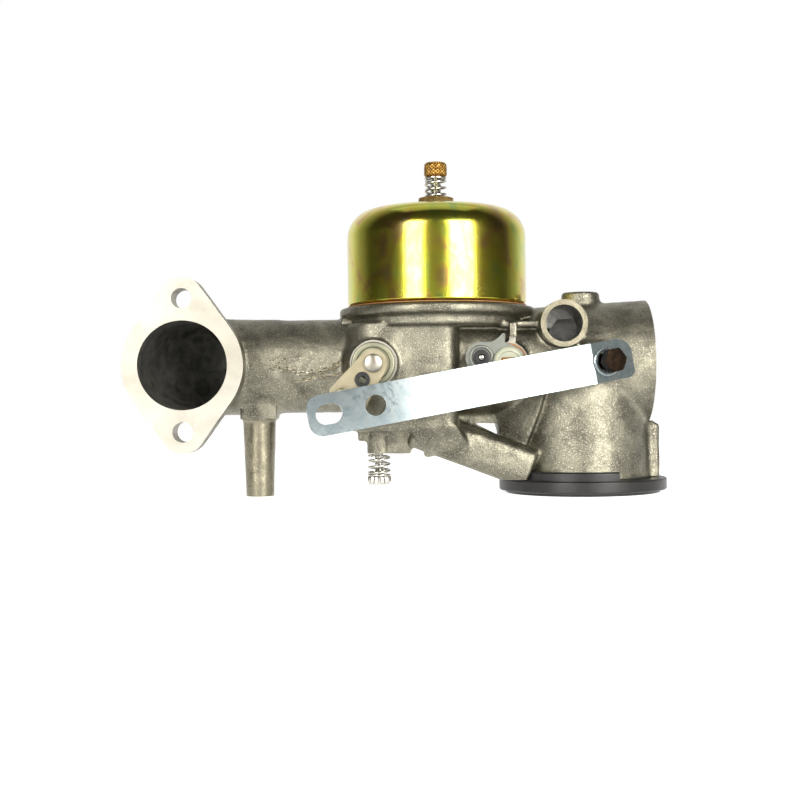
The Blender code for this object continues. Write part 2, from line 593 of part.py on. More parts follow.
def build_float(brass, steel):
    """Ring float with a hinge arm, its pin, the inlet needle under the arm and the needle's seat."""
    inner, outer = FLOAT_R
    low, high = FLOAT_Z
    profile = [(inner, low + 1), (inner + 1, low), (outer - 1, low), (outer, low + 1)]
    profile += [(outer, high - 1), (outer - 1, high), (inner + 1, high), (inner, high - 1)]
    drum = lathe("float", profile, (BOWL_X, 0, 0), segments=24, closed=True)
    arm = block("arm", (BOWL_X - 4.9, 14, PIN_Z + 2.0), (BOWL_X + 4.9, 24.2, low + 1.5))
    ear = block("ear", (BOWL_X - 4.9, PIN_Y - 1.9, PIN_Z - 1.6), (BOWL_X + 4.9, PIN_Y + 1.9, PIN_Z + 2.5))
    join(drum, arm, ear)
    cut(drum, rod("pin_hole", (BOWL_X - 8, PIN_Y, PIN_Z), (BOWL_X + 8, PIN_Y, PIN_Z), 1.1, None, 12))
    finish(drum, brass, (BOWL_X, PIN_Y, PIN_Z))
    pin = rod("float_hinge_pin", (BOWL_X - 8.6, PIN_Y, PIN_Z), (BOWL_X + 8.6, PIN_Y, PIN_Z), 0.8, None, 10)
    finish(pin, steel)
    profile = [(0, 57.6), (0.3, 57.6), (1.3, 60.2), (1.3, PIN_Z + 1.7), (0, PIN_Z + 1.7)]
    needle = lathe("inlet_needle", profile, (BOWL_X, NEEDLE_Y, 0), segments=12)
    finish(needle, steel, (BOWL_X, NEEDLE_Y, 60))
    profile = [(0.9, 55), (2.8, 55), (2.8, 62.9), (3.4, 62.9), (3.4, 63.9), (1.7, 63.9), (1.7, 58.5), (0.9, 57.5)]
    seat = lathe("inlet_seat", profile, (BOWL_X, NEEDLE_Y, 0), segments=16, closed=True)
    finish(seat, brass)
    profile = [(0.6, 46.5), (1.6, 46.5), (2.7, 49), (2.7, 66), (1.4, 66), (1.4, 60), (0.6, 58)]
    nozzle = lathe("main_nozzle", profile, (BOWL_X, 0, 0), segments=16, closed=True)
    finish(nozzle, brass)


def build_inlet_nipple(look):
    """Barbed hose nipple pressed into the back of the body."""
    profile = [(1.4, 20), (2.6, 20), (2.6, 28.4), (4.0, 28.4), (4.0, 31), (2.7, 31), (2.7, 35)]
    profile += [(3.4, 35.2), (2.7, 38), (3.4, 38.2), (2.7, 41), (3.4, 41.2), (2.5, 44), (1.4, 44)]
    nipple = lathe("fuel_inlet_nipple", profile, (BOWL_X, 0, 49.5), (0, 1, 0), 20, closed=True)
    finish(nipple, look)


# ---- shafts, discs and levers ---------------------------------------------------------------
def build_shaft(name, x, front, back, flat_y, look):
    """A shaft along Y, milled to a half section where the disc is screwed on."""
    shaft = rod(name, (x, front, BORE_Z), (x, back, BORE_Z), SHAFT_R, None, 20)
    flat = block("flat", (x - 8, -flat_y, BORE_Z - 8), (x + DISC_THICK / 2 + GAP, flat_y, BORE_Z + 8))
    tools = [flat]
    for y in (-5.5, 5.5):
        tools.append(rod("tapped", (x - 5, y, BORE_Z), (x + 5, y, BORE_Z), 1.3, None, 10))
    cut(shaft, *tools)
    return finish(shaft, look, (x, 0, BORE_Z))


def build_disc(kind, x, radius, look, steel):
    """A butterfly disc with its two screws."""
    half = DISC_THICK / 2
    disc = rod(kind + "_disc", (x - half, 0, BORE_Z), (x + half, 0, BORE_Z), radius, None, 36)
    holes = [rod("hole", (x - 5, y, BORE_Z), (x + 5, y, BORE_Z), 1.3, None, 10) for y in (-5.5, 5.5)]
    cut(disc, *holes)
    finish(disc, look, (x, 0, BORE_Z))
    for number, y in enumerate((-5.5, 5.5), 1):
        profile = [(0, 0), (2.0, 0), (2.3, -0.8), (1.6, -1.6), (0, -1.6)]
        base = x - half - GAP
        shank = [(0, 4.3), (1.0, 4.3), (1.0, 0)]
        screw = lathe(kind + "_disc_screw_%d" % number, shank + profile[1:], (base, y, BORE_Z), (1, 0, 0), 14)
        finish(screw, steel, (x, 0, BORE_Z))


def lever_plate(name, outline, low, high):
    return extrude(name, outline, low, high, UPRIGHT)


def hull_outline(circles, steps=7):
    """The outline of a belt round circles, listed as (x, z, radius) anticlockwise."""
    outline = []
    count = len(circles)
    for k in range(count):
        before, here, after = circles[k - 1], circles[k], circles[(k + 1) % count]
        start = tangent_angle(before, here)
        end = tangent_angle(here, after)
        while end < start:
            end += 360
        outline += arc(here[:2], here[2], start, end, steps)
    return outline


def tangent_angle(first, second):
    """Direction, in degrees, of the outer tangent points of two circles on an anticlockwise belt."""
    dx, dz = second[0] - first[0], second[1] - first[1]
    distance = math.hypot(dx, dz)
    lean = math.acos((first[2] - second[2]) / distance)
    return math.degrees(math.atan2(dz, dx) - lean)


def build_throttle(zinc, steel, black, brass):
    """Shaft, lever, bushing, dust washer and disc."""
    x = THROTTLE_X
    ring("throttle_dust_washer", (x, THROTTLE_FACE_Y - GAP, BORE_Z), (0, -1, 0), SHAFT_R + GAP, WASHER_R, 1.3, zinc)
    lever_back = THROTTLE_FACE_Y - GAP - 1.3 - GAP
    lever_front = lever_back - 2.0
    build_shaft("throttle_shaft", x, lever_back - 2.6, 21.4, 14.3, steel)
    shaft = bpy.data.objects["throttle_shaft"]
    shaft.location = (0, 0, 0)
    shaft.data.transform(Matrix.Translation(Vector((x, 0, BORE_Z)) * MM))
    step = lathe("step", [(2.2, 0), (5, 0), (5, 4), (2.2, 4)], (x, lever_back + 0.3, BORE_Z), (0, -1, 0), 20, True)
    cut(shaft, step)
    head = [(0, 0), (2.9, 0), (2.6, 0.7), (1.6, 1.2), (0, 1.4)]
    join(shaft, lathe("rivet", head, (x, lever_front - GAP, BORE_Z), (0, -1, 0), 20))
    finish(shaft, steel, (x, 0, BORE_Z))
    outline = hull_outline([(x, BORE_Z, 4.4), (x - 11.3, BORE_Z - 8.9, 2.4), (x - 5.2, BORE_Z - 13.7, 2.4)])
    lever = lever_plate("throttle_lever", outline, lever_front, lever_back)
    cut(lever, rod("hub_hole", (x, lever_front - 3, BORE_Z), (x, lever_back + 3, BORE_Z), 2.5, None, 20),
        rod("bushing_hole", (x - 3.4, -40, BORE_Z - 5.0), (x - 3.4, -20, BORE_Z - 5.0), 2.0, None, 16))
    finish(lever, zinc, (x, 0, BORE_Z))
    profile = [(1.1, 0), (2.4, 0), (2.4, 0.6), (1.7, 0.9), (1.7, 3.0), (1.1, 3.0)]
    bushing = lathe("throttle_lever_bushing", profile, (x - 3.4, lever_front - 0.9, BORE_Z - 5.0), (0, 1, 0), 16, True)
    finish(bushing, black, (x, 0, BORE_Z))
    build_disc("throttle", x, THROTTLE_DISC_R, brass, steel)


def build_choke(zinc, steel, black, brass, cream, fibre):
    """Shaft with a brass tang, cream hub, lever with its link pin, fibre washer and disc."""
    x = CHOKE_X
    ring("choke_washer", (x, CHOKE_FACE_Y - GAP, BORE_Z), (0, -1, 0), SHAFT_R + GAP, 6.2, 0.8, fibre)
    lever_back = CHOKE_FACE_Y - 2 * GAP - 0.8
    lever_front = lever_back - 1.4
    hub_back = lever_front - GAP
    shaft = build_shaft("choke_shaft", x, lever_back + GAP, 17.9, 14.8, brass)
    shaft.data.transform(Matrix.Translation(Vector((x, 0, BORE_Z)) * MM))
    shaft.location = (0, 0, 0)
    tang = block("tang", (x - 2.1, hub_back - 2.6, BORE_Z - 1.2), (x + 2.1, lever_back + 1, BORE_Z + 1.2))
    finish(join(shaft, tang), brass, (x, 0, BORE_Z))
    tang_hole = (x - 2.1 - GAP, -40, BORE_Z - 1.2 - GAP), (x + 2.1 + GAP, -20, BORE_Z + 1.2 + GAP)
    profile = [(0, 0), (4.9, 0), (4.9, 1.0), (4.4, 1.9), (0, 1.9)]
    hub = lathe("choke_hub", profile, (x, hub_back, BORE_Z), (0, -1, 0), 24)
    finish(cut(hub, block("tang_hole", *tang_hole)), cream, (x, 0, BORE_Z))
    lobe = (x - 8.6, BORE_Z + 1.6)
    outline = hull_outline([(x, BORE_Z, 5.4), (x - 1.5, BORE_Z + 2.5, 3.8), (*lobe, 5.0)])
    lever = lever_plate("choke_lever", outline, lever_front, lever_back)
    horn = [(x - 8.6, BORE_Z + 6.2), (x - 4.6, BORE_Z + 6.9), (x - 1.7, BORE_Z + 9.4), (x - 0.9, BORE_Z + 9.0)]
    horn += [(x - 1.2, BORE_Z + 4.0), (x - 6, BORE_Z + 2)]
    join(lever, lever_plate("horn", horn, lever_front, lever_back))
    cut(lever, block("tang_hole", *tang_hole),
        rod("pin_hole", (lobe[0], -40, lobe[1]), (lobe[0], -15, lobe[1]), 1.95, None, 16))
    finish(lever, zinc, (x, 0, BORE_Z))
    profile = [(1.1, 0), (2.6, 0), (2.6, 0.5), (1.65, 0.8), (1.65, 2.3), (1.1, 2.3)]
    bushing = lathe("choke_link_bushing", profile, (lobe[0], lever_front - 0.8, lobe[1]), (0, 1, 0), 16, True)
    finish(bushing, black, (x, 0, BORE_Z))
    pin = rod("choke_link_pin", (lobe[0], lever_front - 1.2, lobe[1]), (lobe[0], lever_back + 0.5, lobe[1]), 0.8, None, 12)
    finish(pin, steel, (x, 0, BORE_Z))
    build_disc("choke", x, CHOKE_DISC_R, zinc, steel)


# ---- strap, seal and plugs --------------------------------------------------------------------
def build_strap(zinc, dark):
    """Bent brace strap with a round hole and a slot at its free end, on its hexagon screw."""
    start, end = STRAP_ENDS
    half = STRAP_WIDTH / 2
    upper, lower, soft = 5.0, 2.6, 4.2
    outline = arc((end - soft, half - soft), soft, 90, 0, 4) + arc((end - soft, soft - half), soft, 0, -90, 4)
    outline += arc((start + upper, upper - half), upper, -90, -180, 4)
    outline += arc((start + lower, half - lower), lower, 180, 90, 4)
    flat = Matrix.Identity(4)
    strap = extrude("brace_strap", outline, 0, STRAP_THICK, flat)
    slot_half, slot_r = 1.0, 3.1
    slot = arc((STRAP_SLOT_AT + slot_half, 0), slot_r, 90, -90, 8)
    slot += arc((STRAP_SLOT_AT - slot_half, 0), slot_r, -90, -270, 8)
    cut(strap, extrude("slot", slot, -2, 4, flat))
    for at, radius in ((0, 3.3), (STRAP_HOLE_AT, STRAP_HOLE_R)):
        cut(strap, rod("hole", (at, 0, -2), (at, 0, 4), radius, None, 24))
    finish(bend_strap(strap), zinc, STRAP_PIVOT)
    head = [(x, y) for x, y in arc((0, 0), 4.1, 0, 300, 5)]
    low = STRAP_THICK + 2.5
    place = strap_frames()[0]
    screw = extrude("strap_screw", head, low, low + 2.8, place)
    join(screw, rod("shoulder", place @ Vector((0, 0, low + 1)), place @ Vector((0, 0, 0.2)), 2.75, None, 16),
         rod("shank", place @ Vector((0, 0, low + 1)), place @ Vector((0, 0, -7.5)), 2.3, None, 16))
    finish(screw, dark, STRAP_PIVOT)


def build_seal(look):
    """Rubber seal under the air horn: lip, rim and a collar that runs part of the way round."""
    lip, rim_low, rim_high, collar = SEAL_Z
    profile = [(SEAL_BORE_R, lip), (SEAL_LIP_R, lip), (SEAL_LIP_R, rim_low), (SEAL_R, rim_low)]
    profile += [(SEAL_R, rim_high), (SEAL_BORE_R, rim_high)]
    seal = lathe("air_cleaner_seal", profile, segments=40, closed=True)
    finish(join(seal, extrude("collar", collar_outline(0), rim_high - 1.0, collar, LEVEL)), look)


def build_plugs(steel):
    """Pressed cup in the end of the horn and the small plug over the idle passage."""
    face = HORN_END_X - 3 + GAP
    profile = [(0, 0), (17.6, 0), (18.3, 0.5), (18.3, 2.2), (17.3, 2.2), (16.9, 1.2), (0, 1.9)]
    finish(lathe("air_horn_plug", profile, (face, 0, BORE_Z), (1, 0, 0), 40), steel)
    profile = [(0, 0), (4.0, 0), (4.0, 0.8), (0, 1.2)]
    finish(lathe("idle_passage_plug", profile, (-56, BULGE_Y - 1.4 + GAP, 50), (0, 1, 0), 20), steel)


def main():
    clear_scene()
    aluminium = material("cast_aluminium", (0.42, 0.40, 0.36), 0.5, 0.9)
    dichromate = material("yellow_dichromate", (0.62, 0.56, 0.10), 0.2, 1.0)
    brass = material("brass", (0.62, 0.40, 0.15), 0.3, 1.0)
    steel = material("bright_steel", (0.72, 0.72, 0.70), 0.25, 1.0)
    zinc = material("zinc_plate", (0.72, 0.76, 0.80), 0.35, 1.0)
    yellow_zinc = material("yellow_zinc_plate", (0.74, 0.68, 0.50), 0.35, 0.9)
    black = material("black_rubber", (0.018, 0.018, 0.018), 0.45, 0.0)
    fibre = material("brown_fibre", (0.40, 0.20, 0.07), 0.7, 0.0)
    cream = material("cream_plastic", (0.66, 0.70, 0.56), 0.5, 0.0)
    dark = material("dark_bronze", (0.10, 0.055, 0.03), 0.4, 0.8)
    build_body(aluminium)
    build_bowl(dichromate)
    build_gasket(fibre)
    ring("packing_nut_washer", (BOWL_X, 0, BOWL_TOP_Z + 0.1), (0, 0, 1), 3.9, 5.4, 0.4, fibre)
    build_packing_nut(brass)
    build_high_speed(brass, steel)
    build_idle(steel)
    build_float(brass, steel)
    build_inlet_nipple(brass)
    build_throttle(yellow_zinc, steel, black, brass)
    build_choke(zinc, steel, black, brass, cream, fibre)
    build_strap(zinc, dark)
    build_seal(black)
    build_plugs(steel)


main()
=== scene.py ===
"""Looks of the carburetor: fine meshes, finishes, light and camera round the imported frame.

Pieces are modelled in millimetres in the frame's own axes, and place() turns them into metres.
"""
import json
import math
import random

import bmesh
import bpy
from mathutils import Matrix, Vector, noise


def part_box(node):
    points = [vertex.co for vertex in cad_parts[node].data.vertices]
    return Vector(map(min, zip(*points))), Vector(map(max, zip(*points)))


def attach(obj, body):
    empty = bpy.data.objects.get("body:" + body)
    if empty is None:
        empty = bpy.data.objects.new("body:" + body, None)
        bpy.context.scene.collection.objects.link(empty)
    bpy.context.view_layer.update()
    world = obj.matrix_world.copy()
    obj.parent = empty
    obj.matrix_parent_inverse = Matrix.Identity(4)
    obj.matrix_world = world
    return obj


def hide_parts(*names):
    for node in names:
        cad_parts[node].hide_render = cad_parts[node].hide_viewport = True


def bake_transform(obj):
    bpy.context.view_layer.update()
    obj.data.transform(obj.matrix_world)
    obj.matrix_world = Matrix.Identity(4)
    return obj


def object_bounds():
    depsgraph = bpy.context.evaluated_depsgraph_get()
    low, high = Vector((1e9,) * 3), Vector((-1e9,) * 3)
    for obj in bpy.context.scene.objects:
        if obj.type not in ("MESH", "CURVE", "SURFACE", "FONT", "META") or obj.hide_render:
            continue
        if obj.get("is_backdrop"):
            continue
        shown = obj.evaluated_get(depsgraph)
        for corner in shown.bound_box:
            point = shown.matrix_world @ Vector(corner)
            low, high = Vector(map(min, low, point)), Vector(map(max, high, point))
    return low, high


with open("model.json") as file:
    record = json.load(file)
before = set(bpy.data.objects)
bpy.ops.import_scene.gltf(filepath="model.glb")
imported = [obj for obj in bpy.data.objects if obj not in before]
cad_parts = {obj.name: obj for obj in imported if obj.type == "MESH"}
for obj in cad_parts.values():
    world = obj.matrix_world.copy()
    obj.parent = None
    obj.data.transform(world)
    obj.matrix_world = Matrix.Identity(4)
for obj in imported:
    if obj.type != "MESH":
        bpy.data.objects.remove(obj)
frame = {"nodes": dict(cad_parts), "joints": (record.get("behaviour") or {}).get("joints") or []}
CAD_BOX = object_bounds()

MM = 0.001


# ---- places read from the frame ----
def joint_of(name):
    return next(j for j in frame["joints"] if j["name"] == name)


def pivot(name):
    return Vector(joint_of(name)["pos_m"]) / MM


def span(node):
    low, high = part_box(node)
    return low / MM, high / MM


THROTTLE_X, _, BORE_Z = pivot("throttle_turn")
CHOKE_X = pivot("choke_turn").x
BOWL_X = pivot("high_speed_turn").x
IDLE_X, IDLE_Y = pivot("idle_turn").xy
BOWL_LOW, BOWL_HIGH = span("float_bowl")
SEAL_R = span("air_cleaner_seal")[1].x
NUT_LOW, NUT_HIGH = span("packing_nut")
KNOB_TOP = span("high_speed_needle")[1].z
IDLE_LOW = span("idle_needle")[0].z

# ---- sizes, as in the CAD model ----
FLANGE_X = -127.9
FLANGE_FACE_Y = -30.0
FLANGE_THICK = 9.5
FLANGE_MID_R = 18.9
FLANGE_END_R = 6.8
FLANGE_HOLE_SPAN = 41.6
FLANGE_HOLE_R = 3.2
ELBOW_RADIUS = 18.0
PIPE_R = 15.5                   # outside of the intake pipe
INTAKE_R = 13.95
THROAT_R = 9.5
CHOKE_BORE_R = 14.5
HORN_R = (18.2, 20.7)
HORN_BORE_R = (16.8, 17.6)
HORN_END_X = 21.0
PLUG_SEAT_R = 18.6              # the recess for the cup plug in the horn's end
DOWN_PIPE_R = (21.9, 20.3)
DOWN_PIPE_BORE_R = 18.0
POST_X, POST_Y = -106.9, -4.0
BULGE_X = (-77.0, -42.0)
BULGE_Y = 23.5
BULGE_Z = (21.1, 56.0)
DECK_R = 32.3
DECK_TOP_Z = 61.3
RING_R = 29.0
BREATHER = (-8.6, 54.7)
SEAT_Z = 5.1
SEAL_BORE_R = 20.0
COLLAR_R = (22.3, 25.8)         # the seal's raised collar, inside and outside
COLLAR_TOP_Z = 7.6
COLLAR_ARC = (-71.0, -297.0)    # degrees
SHAFT_R = 3.2
THROTTLE_FACE_Y = -24.6
CHOKE_FACE_Y = -19.4
COLUMN_TOP_Z = 94.2
NUT_SEAT_Z = 96.1
STUD_TOP_Z = 66.1
PIN_Y, PIN_Z = 22.3, 65.2
NEEDLE_Y = 16.6
INLET_Z = 49.5
PLUG_X, PLUG_Z = -56.0, 50.0    # the idle passage plug, at the rear
GAP = 0.3
WIRE_R = 0.42
PITCH = 0.79                    # of both needles' threads
THREAD_SIDES = 32
STRAP_YAW = (22.0, 8.0)         # degrees that the strap stands out, at its screw and past its bend
STRAP_DROP = 10.0
STRAP_BEND_AT = 5.0
STRAP_ENDS = (-9.3, 95.2)
STRAP_SLOT_AT, STRAP_HOLE_AT = 88.6, 74.2
STRAP_HALF, STRAP_THICK = 6.35, 1.5
VOXEL = 0.5                     # remesh size of the casting
SHARP = math.radians(38)        # edges past this angle stay sharp

# Planes for outlines: upright has X, Z with its depth along Y; level has X, Y with its depth along Z.
UPRIGHT = Matrix(((1, 0, 0, 0), (0, 0, 1, 0), (0, 1, 0, 0), (0, 0, 0, 1)))
LEVEL = Matrix.Identity(4)


# ---- mesh helpers ----
def linked(name, data):
    made = bpy.data.objects.new(name, data)
    bpy.context.collection.objects.link(made)
    return made


def as_object(name, mesh_edit):
    mesh = bpy.data.meshes.new(name)
    mesh_edit.to_mesh(mesh)
    mesh_edit.free()
    return linked(name, mesh)


def solid(name, mesh_edit):
    bmesh.ops.recalc_face_normals(mesh_edit, faces=mesh_edit.faces)
    return as_object(name, mesh_edit)


def skin(mesh_edit, rings, closed=False, capped=False):
    """Join rings of points with faces; a ring of one point is a point on the axis."""
    rings = [[mesh_edit.verts.new(p) for p in ring] for ring in rings]
    pairs = list(zip(rings, rings[1:]))
    if closed:
        pairs.append((rings[-1], rings[0]))
    for low, high in pairs:
        for k in range(max(len(low), len(high))):
            corners = [low[k % len(low)], low[(k + 1) % len(low)]]
            corners += [high[(k + 1) % len(high)], high[k % len(high)]]
            face = list(dict.fromkeys(corners))
            if len(face) > 2:
                mesh_edit.faces.new(face)
    if capped:
        mesh_edit.faces.new(rings[0])
        mesh_edit.faces.new(rings[-1])


def loft(name, rings, closed=False, capped=True):
    mesh_edit = bmesh.new()
    skin(mesh_edit, rings, closed, capped)
    return solid(name, mesh_edit)


def turns(count):
    """Evenly spaced angles round a circle."""
    return [2 * math.pi * k / count for k in range(count)]


def polar(centre, radius, angle):
    return centre[0] + radius * math.cos(angle), centre[1] + radius * math.sin(angle)


def arc(centre, radius, start, end, steps):
    """Points on an arc, angles in degrees."""
    angles = [math.radians(start + (end - start) * k / steps) for k in range(steps + 1)]
    return [polar(centre, radius, a) for a in angles]


def rounded(points, closed=False, steps=5):
    """A polyline whose corners with a third value are rounded with that radius."""
    count = len(points)
    outline = []
    for k, point in enumerate(points):
        here = Vector(point[:2])
        inner = closed or 0 < k < count - 1
        if len(point) < 3 or not inner:
            outline.append(tuple(here))
            continue
        before = Vector(points[k - 1][:2]) - here
        after = Vector(points[(k + 1) % count][:2]) - here
        half = before.angle(after) / 2
        reach = min(point[2] / math.tan(half), 0.49 * before.length, 0.49 * after.length)
        start, end = here + before.normalized() * reach, here + after.normalized() * reach
        centre = here + (start + end - 2 * here).normalized() * reach / math.cos(half)
        count_here = max(steps, int(reach * 1.5))
        for j in range(count_here + 1):
            ray = (start - centre).lerp(end - centre, j / count_here)
            outline.append(tuple(centre + ray.normalized() * reach * math.tan(half)))
    return outline


def turned_frame(base, axis):
    turn = Vector((0, 0, 1)).rotation_difference(Vector(axis)).to_matrix().to_4x4()
    return Matrix.Translation(base) @ turn


def lathe(name, profile, base=(0, 0, 0), axis=(0, 0, 1), segments=96, closed=False):
    """Turn a profile of (radius, height[, rounding]) about an axis through base."""
    place_at = turned_frame(base, axis)
    rings = []
    for radius, height in rounded(profile, closed):
        angles = turns(segments if radius > 1e-6 else 1)
        rings.append([place_at @ Vector((*polar((0, 0), radius, a), height)) for a in angles])
    return loft(name, rings, closed, capped=False)


def rod(name, start, end, radius, end_radius=None, segments=64):
    along = Vector(end) - Vector(start)
    tip = radius if end_radius is None else end_radius
    return lathe(name, [(0, 0), (radius, 0), (tip, along.length), (0, along.length)], start, along, segments)


def rod_y(name, x, z, start, end, radius, end_radius=None, segments=64):
    return rod(name, (x, start, z), (x, end, z), radius, end_radius, segments)


def rod_z(name, x, y, low, high, radius, end_radius=None, segments=64):
    return rod(name, (x, y, low), (x, y, high), radius, end_radius, segments)


def block(name, low, high):
    x, y = (low[0], high[0]), (low[1], high[1])
    ring = [(x[0], y[0]), (x[1], y[0]), (x[1], y[1]), (x[0], y[1])]
    return loft(name, [[(u, v, z) for u, v in ring] for z in (low[2], high[2])])


def extrude(name, outline, low, high, place_at):
    return loft(name, [[place_at @ Vector((u, v, w)) for u, v in outline] for w in (low, high)])


def sweep(name, stations, segments=64):
    """A round tube through (point, radius) stations, with flat ends."""
    points = [Vector(point) for point, _ in stations]
    side = Vector((0, 0.02, 1))
    rings = []
    for k, (_, radius) in enumerate(stations):
        ahead = points[min(k + 1, len(points) - 1)] - points[k]
        behind = points[k] - points[max(k - 1, 0)]
        along = (ahead.normalized() + behind.normalized()).normalized()
        side = (side - along * side.dot(along)).normalized()
        other = along.cross(side)
        angles = turns(segments)
        rings.append([points[k] + radius * (side * math.cos(a) + other * math.sin(a)) for a in angles])
    return loft(name, rings)


def keep_shape(made):
    """Apply the modifiers of a piece to its mesh."""
    graph = bpy.context.evaluated_depsgraph_get()
    made.data = bpy.data.meshes.new_from_object(made.evaluated_get(graph))
    made.modifiers.clear()
    return made


def carve(made, *tools, operation="DIFFERENCE"):
    """Cut, join or intersect a piece with other solids."""
    for tool in tools:
        step = made.modifiers.new("carve", "BOOLEAN")
        step.operation = operation
        step.solver = "MANIFOLD"
        step.object = tool
    keep_shape(made)
    for tool in tools:
        bpy.data.objects.remove(tool, do_unlink=True)
    return made


def soften(made, width, segments=3):
    """Round the sharp edges of a piece."""
    step = made.modifiers.new("soften", "BEVEL")
    step.limit_method = "ANGLE"
    step.angle_limit = SHARP
    step.width = width
    step.segments = segments
    step.harden_normals = False
    return keep_shape(made)


def place(made, name, body, look, *nodes, dressed=False):
    """Turn a piece into metres, finish it unless it is dressed, and hang it on its body for the CAD nodes."""
    made.name = name
    made.data.transform(Matrix.Scale(MM, 4))
    if not dressed:
        made.data.materials.clear()
        made.data.materials.append(LOOKS[look])
    made.data.shade_smooth()
    made.data.set_sharp_from_angle(angle=SHARP)
    if not dressed:
        step = made.modifiers.new("flats", "WEIGHTED_NORMAL")
        step.keep_sharp = True
        step.weight = 90
        keep_shape(made)
    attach(made, body)
    if nodes:
        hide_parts(*nodes)
    return made


# ---- finishes ----
def fill_ramp(ramp, stops):
    """Set a colour ramp to (position, grey or colour) stops."""
    while len(ramp.elements) < len(stops):
        ramp.elements.new(0.5)
    for element, (position, colour) in zip(ramp.elements, stops):
        rgb = colour if isinstance(colour, tuple) else (colour,) * 3
        element.position = position
        element.color = (*rgb, 1.0)


def add_node(tree, kind, inputs, **settings):
    """Add a node; an input is either a socket to link or a value."""
    made = tree.nodes.new(kind)
    for key, value in settings.items():
        setattr(made, key, value)
    for key, value in inputs.items():
        if isinstance(value, bpy.types.NodeSocket):
            tree.links.new(value, made.inputs[key])
        else:
            made.inputs[key].default_value = value
    return made


class Finish:
    """A Principled material; its textures are laid in millimetres on the object's own coordinates."""

    def __init__(self, name, **values):
        self.material = bpy.data.materials.new(name)
        self.material.use_nodes = True
        self.tree = self.material.node_tree
        self.shader = self.tree.nodes["Principled BSDF"]
        for key, value in values.items():
            self.shader.inputs[key.replace("_", " ").title().replace("Ior", "IOR")].default_value = value
        coordinates = self.tree.nodes.new("ShaderNodeTexCoord")
        scale = self.node("ShaderNodeVectorMath", {0: coordinates.outputs["Object"]}, operation="SCALE")
        scale.inputs["Scale"].default_value = 1 / MM
        self.place = scale.outputs[0]

    def node(self, kind, inputs, **settings):
        return add_node(self.tree, kind, inputs, **settings)

    def stretched(self, x, y, z):
        """The place, scaled unevenly, for brushed or drawn textures."""
        made = self.node("ShaderNodeVectorMath", {0: self.place, 1: (x, y, z)}, operation="MULTIPLY")
        return made.outputs[0]

    def noise(self, size, detail=3.0, distortion=0.0, place_at=None):
        values = {"Scale": 1 / size, "Detail": detail, "Distortion": distortion}
        return self.node("ShaderNodeTexNoise", {"Vector": place_at or self.place, **values}).outputs["Fac"]

    def cells(self, size):
        """One even grey for each crystal."""
        cells = self.node("ShaderNodeTexVoronoi", {"Vector": self.place, "Scale": 1 / size}).outputs["Color"]
        return self.node("ShaderNodeSeparateColor", {0: cells}).outputs[0]

    def ramp(self, value, *stops):
        """Map a value through (position, grey or colour) stops."""
        made = self.node("ShaderNodeValToRGB", {"Fac": value})
        fill_ramp(made.color_ramp, stops)
        return made.outputs["Color"]

    def mix(self, share, first, second):
        a, b = (v if isinstance(v, bpy.types.NodeSocket) else (*v, 1.0) for v in (first, second))
        return self.node("ShaderNodeMix", {0: share, 6: a, 7: b}, data_type="RGBA").outputs[2]

    def colour(self, value):
        self.tree.links.new(value, self.shader.inputs["Base Color"])

    def roughness(self, value, low, high):
        mapped = self.node("ShaderNodeMapRange", {"Value": value, "To Min": low, "To Max": high})
        self.tree.links.new(mapped.outputs[0], self.shader.inputs["Roughness"])

    def bump(self, *layers):
        """Stack bump layers of (height, depth in millimetres), and give back the finished material."""
        normal = None
        for height, depth in layers:
            values = {"Height": height, "Distance": depth * MM, "Strength": 1.0}
            if normal is not None:
                values["Normal"] = normal
            normal = self.node("ShaderNodeBump", values).outputs["Normal"]
        self.tree.links.new(normal, self.shader.inputs["Normal"])
        return self.material


def cast_aluminium():
    """Tumbled die casting: grey-brown skin with fine bright grains."""
    made = Finish("cast_aluminium", metallic=0.95)
    grain = made.noise(0.42, 4.0)
    stain = made.noise(8.0, 5.0, 0.8)
    skin_tone = made.ramp(stain, (0.3, (0.098, 0.093, 0.073)), (0.5, (0.178, 0.17, 0.132)),
                          (0.72, (0.28, 0.268, 0.205)))
    burnish = made.ramp(grain, (0.52, 0.0), (0.7, 0.5))
    toned = made.mix(burnish, skin_tone, (0.62, 0.58, 0.46))
    pits = made.ramp(made.noise(0.9, 6.0, 0.4), (0.27, 0.9), (0.36, 0.0))
    made.colour(made.mix(pits, toned, (0.07, 0.064, 0.055)))
    made.roughness(grain, 0.52, 0.3)
    return made.bump((made.noise(2.4, 3.0), 0.15), (grain, 0.11), (made.noise(0.16, 2.0), 0.012))


def post_aluminium():
    """The drawn support post: smoother, darker and browner than the rest of the casting."""
    made = Finish("post_aluminium", metallic=1.0)
    grain = made.noise(0.5, 5.0, 0.0, made.stretched(1.0, 1.0, 0.8))
    tone = made.ramp(made.noise(4.0, 5.0, 0.6), (0.3, (0.15, 0.135, 0.095)), (0.7, (0.27, 0.25, 0.185)))
    made.colour(made.mix(made.ramp(grain, (0.5, 0.0), (0.75, 0.5)), tone, (0.5, 0.46, 0.34)))
    made.roughness(grain, 0.4, 0.27)
    return made.bump((grain, 0.035), (made.noise(0.18, 2.0), 0.01))


